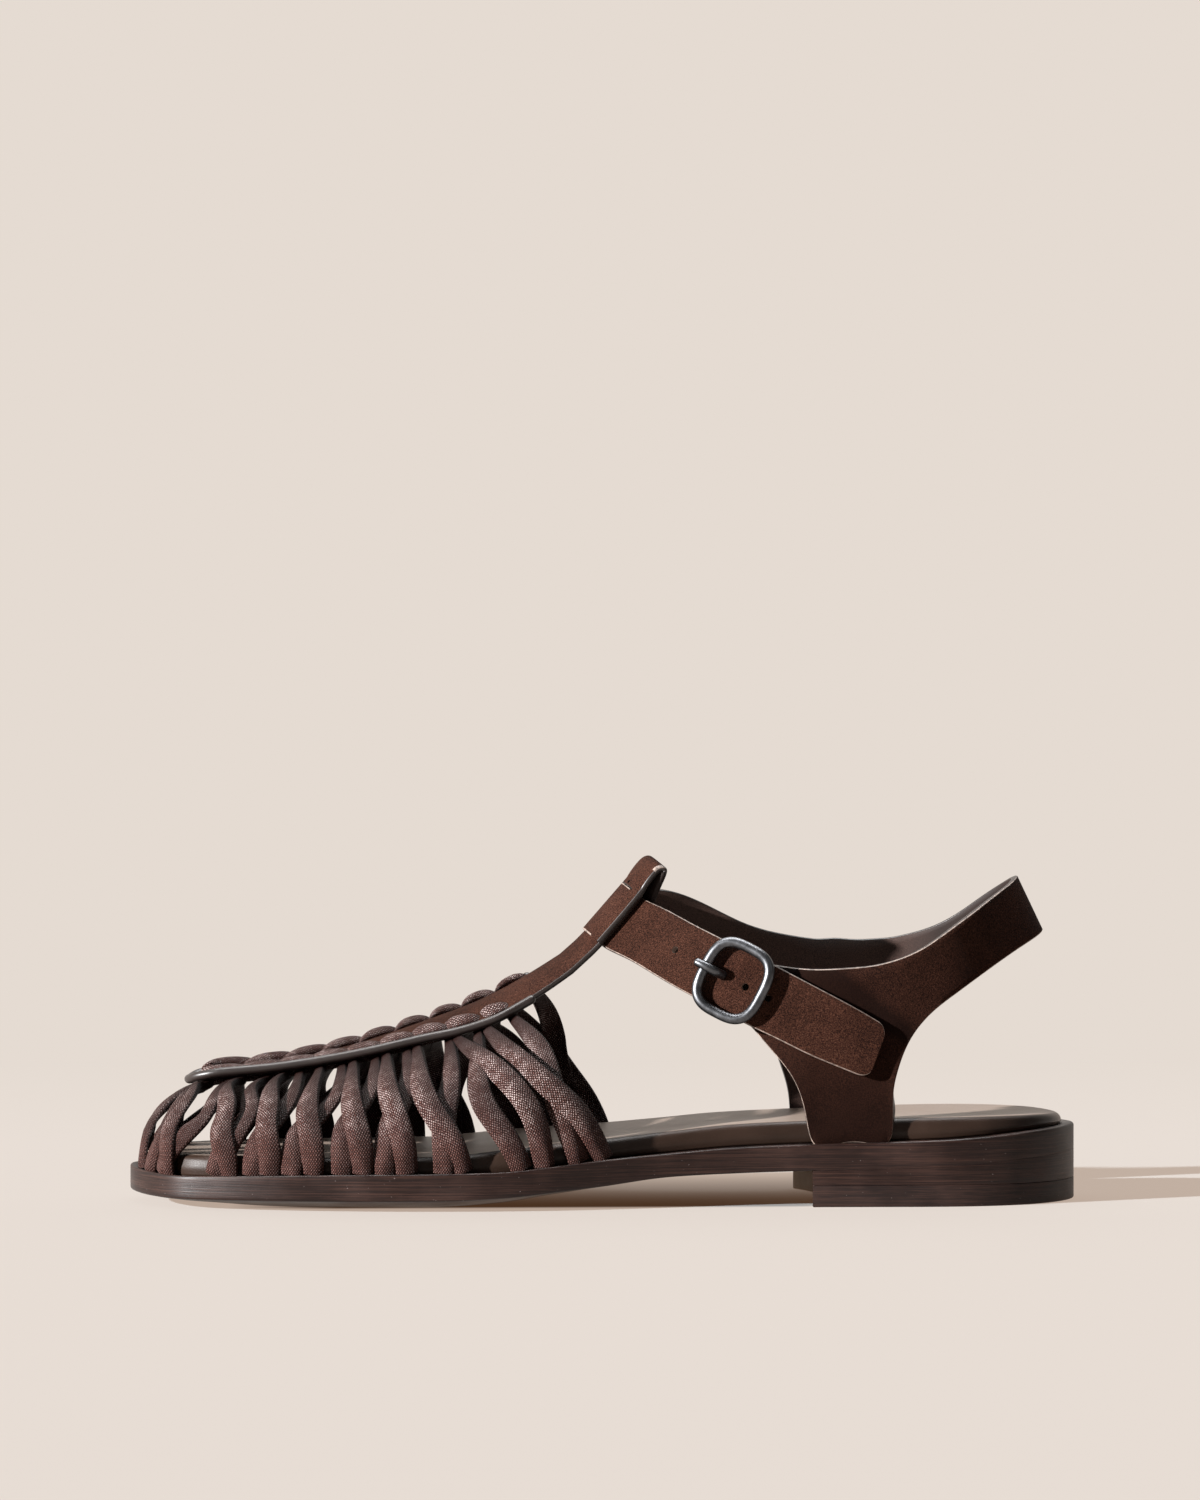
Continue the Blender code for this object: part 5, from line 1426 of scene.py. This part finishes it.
class SANDAL_OT_quarter(bpy.types.Operator):
    """Suede quarter, sling and ankle strap in one band, with its punched holes"""

    bl_idname = "sandal.quarter"
    bl_label = "Quarter and ankle strap"

    def execute(self, context):
        found, sizes = finishes(), context.scene.sandal_sizes
        look = [found[n] for n in ("suede_panel", "raw_edge", "edge_paint", "smooth_lining")]
        band = leather(band_grid(np.linspace(1, 0, 13)), sizes.leather / MM)
        made = skinned("quarter_suede", [band], look)
        spots = [band_frame(PRONG_HOLE_X + k * HOLE_PITCH_X) for k in range(-2, 3)]
        punched(made, [(spot[0], spot[3]) for spot in spots], found["raw_edge"])
        seated(made, "suede", "quarter")
        return {"FINISHED"}


def ring_path(middle, along, across):
    """Superellipse, wire centre to wire centre: |a / A|^n + |c / C|^n = 1."""
    t = np.linspace(0, 2 * pi, 720)
    a = squared(np.cos(t), 2 / RING_POWER) * RING_LENGTH / 2
    c = squared(np.sin(t), 2 / RING_POWER) * RING_WIDTH / 2
    loop = middle + along * a[:, None] + across * c[:, None]
    s = lengths_along(loop)
    return between(np.linspace(0, s[-1], 160, endpoint=False), s, loop)


def ring_skin(path, radius, normal, around=18):
    """Closed tube round a closed path, its section a little flattened."""
    along = unit(np.roll(path, -1, axis=0) - np.roll(path, 1, axis=0))
    out = np.cross(along, normal)
    angle = full_turn(around)
    wide, high = (np.cos(angle) * radius)[:, None], (np.sin(angle) * radius * 0.92)[:, None]
    ring = out[:, None] * wide + normal * high
    return {"rings": path[:, None] + ring, "looped": True}


class SANDAL_OT_buckle(bpy.types.Operator):
    """Gunmetal buckle with its bar under the strap, and the prong"""

    bl_idname = "sandal.buckle"
    bl_label = "Buckle"

    def execute(self, context):
        found, sizes = finishes(), context.scene.sandal_sizes
        wire, leather_t = sizes.wire / MM, sizes.leather / MM
        face, along, across, out = band_frame(BUCKLE_X)
        middle = face + out * (GAP + wire)
        ring = ring_skin(ring_path(middle, along, across), wire, out)
        under, half, bar = -(wire + 3 * GAP + leather_t + 1.1), RING_WIDTH / 2, 1.1
        corners = [(half, 0.4), (half, under + 1.2), (half - 1.2, under)]
        corners += [(-a, b) for a, b in corners[::-1]]
        staple = np.array([middle + across * a + out * b for a, b in corners])
        length = lengths_along(staple)
        rod = tube(between(np.linspace(0, length[-1], 60), length, staple), bar, along)
        made = skinned("buckle_ring", [ring, rod], [found["gunmetal_plate"]])
        seated(made, "gunmetal", "buckle_frame")
        rest, skin = wire + GAP + 0.9, -wire - GAP
        route = (
            (-2.4, under),
            (-PRONG_ROOT + 0.3, skin - leather_t - 0.5),
            (-PRONG_ROOT, skin - leather_t),
            (-PRONG_ROOT, skin),
            (-PRONG_ROOT - 0.6, skin + 1.4),
            (-PRONG_ROOT - 1.8, rest - 1.2),
            (-PRONG_ROOT - 3.2, rest - 0.3),
            (-RING_LENGTH / 2, rest),
            (-PRONG_REACH, rest - 0.25),
        )
        line = resampled(np.array([middle + along * a + out * b for a, b in route]), 70)
        path, size = rounded_ends(line, 1.0)
        taper = 1.2 - 0.2 * np.linspace(0, 1, len(path))
        pin = tube(path, size * taper, across, flat=1.15)
        made = skinned("buckle_pin", [pin], [found["gunmetal_plate"]])
        seated(made, "gunmetal", "buckle_prong")
        return {"FINISHED"}


# ---------------------------------------------------------------- stage


def stage_finish(colours):
    """Pale paper: near the sandal it returns the key light over a soft glow, dimmed under
    the arch where little light gets in, and further off it glows evenly."""
    made = Finish("stage_paper", Roughness=1.0, Specular_IOR_Level=0.0, Emission_Strength=1.0)
    x, y, _ = made.split(made.place())
    far = made.ranged(y, 0.20, 0.60)
    behind = made.ranged(y, ARCH_NEAR, ARCH_FAR) ** 1.8
    before = made.ranged(y, ARCH_NEAR - 0.001, ARCH_NEAR - 0.006)
    ends = made.ranged((x - ARCH_X).size(), ARCH_HALF - 0.030, ARCH_HALF)
    open_sky = made.ranged(behind + before + ends, 0.0, 1.0)
    glow = made.mixed(open_sky, colours.floor_dim, colours.floor_open)
    made.feed(Base_Color=made.mixed(far, colours.floor_lit, (0.0, 0.0, 0.0)))
    made.feed(Emission_Color=made.mixed(far, glow, colours.backdrop))
    return made.material


class SANDAL_OT_stage(bpy.types.Operator):
    """Plain pale floor with a swept backdrop, key light, softboxes and camera"""

    bl_idname = "sandal.stage"
    bl_label = "Stage"

    def execute(self, context):
        scene = context.scene
        colours = scene.sandal_colours
        made = stage_finish(colours)
        sweep = np.linspace(0, pi / 2, 24)[1:]
        curve = SWEEP_FROM + SWEEP_RADIUS * np.sin(sweep)
        depth = [FLOOR_FRONT, FLOOR_MIDDLE, SWEEP_FROM, *curve, SWEEP_FROM + SWEEP_RADIUS]
        rise = [0.0, 0.0, 0.0, *(SWEEP_RADIUS * (1 - np.cos(sweep))), BACKDROP_HIGH]
        grid = np.array([[(x, y, z) for x in (-FLOOR_WIDE, FLOOR_WIDE)] for y, z in zip(depth, rise)])
        mesh = bpy.data.meshes.new("floor")
        faces = [(2 * i, 2 * i + 1, 2 * i + 3, 2 * i + 2) for i in range(len(depth) - 1)]
        mesh.from_pydata((grid.reshape(-1, 3) * MM).tolist(), [], faces)
        mesh.materials.append(made)
        mesh.shade_smooth()
        linked("floor", mesh)

        world = bpy.data.worlds.new("studio")
        world.use_nodes = True
        sky = world.node_tree.nodes["Background"].inputs
        sky["Color"].default_value, sky["Strength"].default_value = FILL_COLOUR, FILL_STRENGTH
        scene.world = world

        key = bpy.data.lights.new("key", "SUN")
        key.energy, key.angle, key.color = KEY_POWER, KEY_SPREAD, (1.0, 1.0, 1.0)
        linked("key", key).rotation_euler = Vector(KEY_TOWARD).to_track_quat("Z", "Y").to_euler()

        for name, (spot, size, power) in SOFTBOXES.items():
            box = bpy.data.lights.new(name, "AREA")
            box.shape, box.size, box.size_y, box.energy = "RECTANGLE", *size, power
            lamp = linked(name, box)
            lamp.location = spot
            lamp.rotation_euler = Vector(spot).to_track_quat("Z", "Y").to_euler()
            lamp.visible_diffuse = lamp.visible_camera = False

        lens = bpy.data.cameras.new("camera")
        lens.sensor_width, lens.lens = 36.0, CAMERA_LENS
        lens.clip_start, lens.clip_end = 0.01, 50.0
        camera = scene.camera = linked("camera", lens)
        back = Vector((sin(CAMERA_TURN), -cos(CAMERA_TURN), 0.0))
        right = Vector((cos(CAMERA_TURN), sin(CAMERA_TURN), 0.0))
        camera.location = back * CAMERA_BACK - right * CAMERA_ASIDE + Vector((0.0, 0.0, CAMERA_HIGH))
        camera.rotation_euler = back.to_track_quat("Z", "Y").to_euler()
        scene.view_settings.view_transform = "Standard"
        return {"FINISHED"}


class SANDAL_PT_panel(bpy.types.Panel):
    """Lists the sandal's pieces, sizes and colours"""

    bl_label = "Sandal"
    bl_space_type = "VIEW_3D"
    bl_region_type = "UI"
    bl_category = "Sandal"

    def draw(self, context):
        for made in PIECES:
            self.layout.operator(made.bl_idname)
        for group in (context.scene.sandal_sizes, context.scene.sandal_colours):
            for name in group.__annotations__:
                self.layout.prop(group, name)


PIECES = (
    SANDAL_OT_sole,
    SANDAL_OT_footbed,
    SANDAL_OT_apron,
    SANDAL_OT_laces,
    SANDAL_OT_quarter,
    SANDAL_OT_buckle,
    SANDAL_OT_stage,
)
CLASSES = (SandalSizes, SandalColours, *PIECES, SANDAL_PT_panel)


def register():
    for made in CLASSES:
        bpy.utils.register_class(made)
    bpy.types.Scene.sandal_sizes = bpy.props.PointerProperty(type=SandalSizes)
    bpy.types.Scene.sandal_colours = bpy.props.PointerProperty(type=SandalColours)


def unregister():
    del bpy.types.Scene.sandal_colours
    del bpy.types.Scene.sandal_sizes
    for made in reversed(CLASSES):
        bpy.utils.unregister_class(made)


def main():
    register()
    bpy.ops.sandal.sole()
    bpy.ops.sandal.footbed()
    bpy.ops.sandal.apron()
    bpy.ops.sandal.laces()
    bpy.ops.sandal.quarter()
    bpy.ops.sandal.buckle()
    bpy.ops.sandal.stage()


if __name__ == "__main__":
    main()
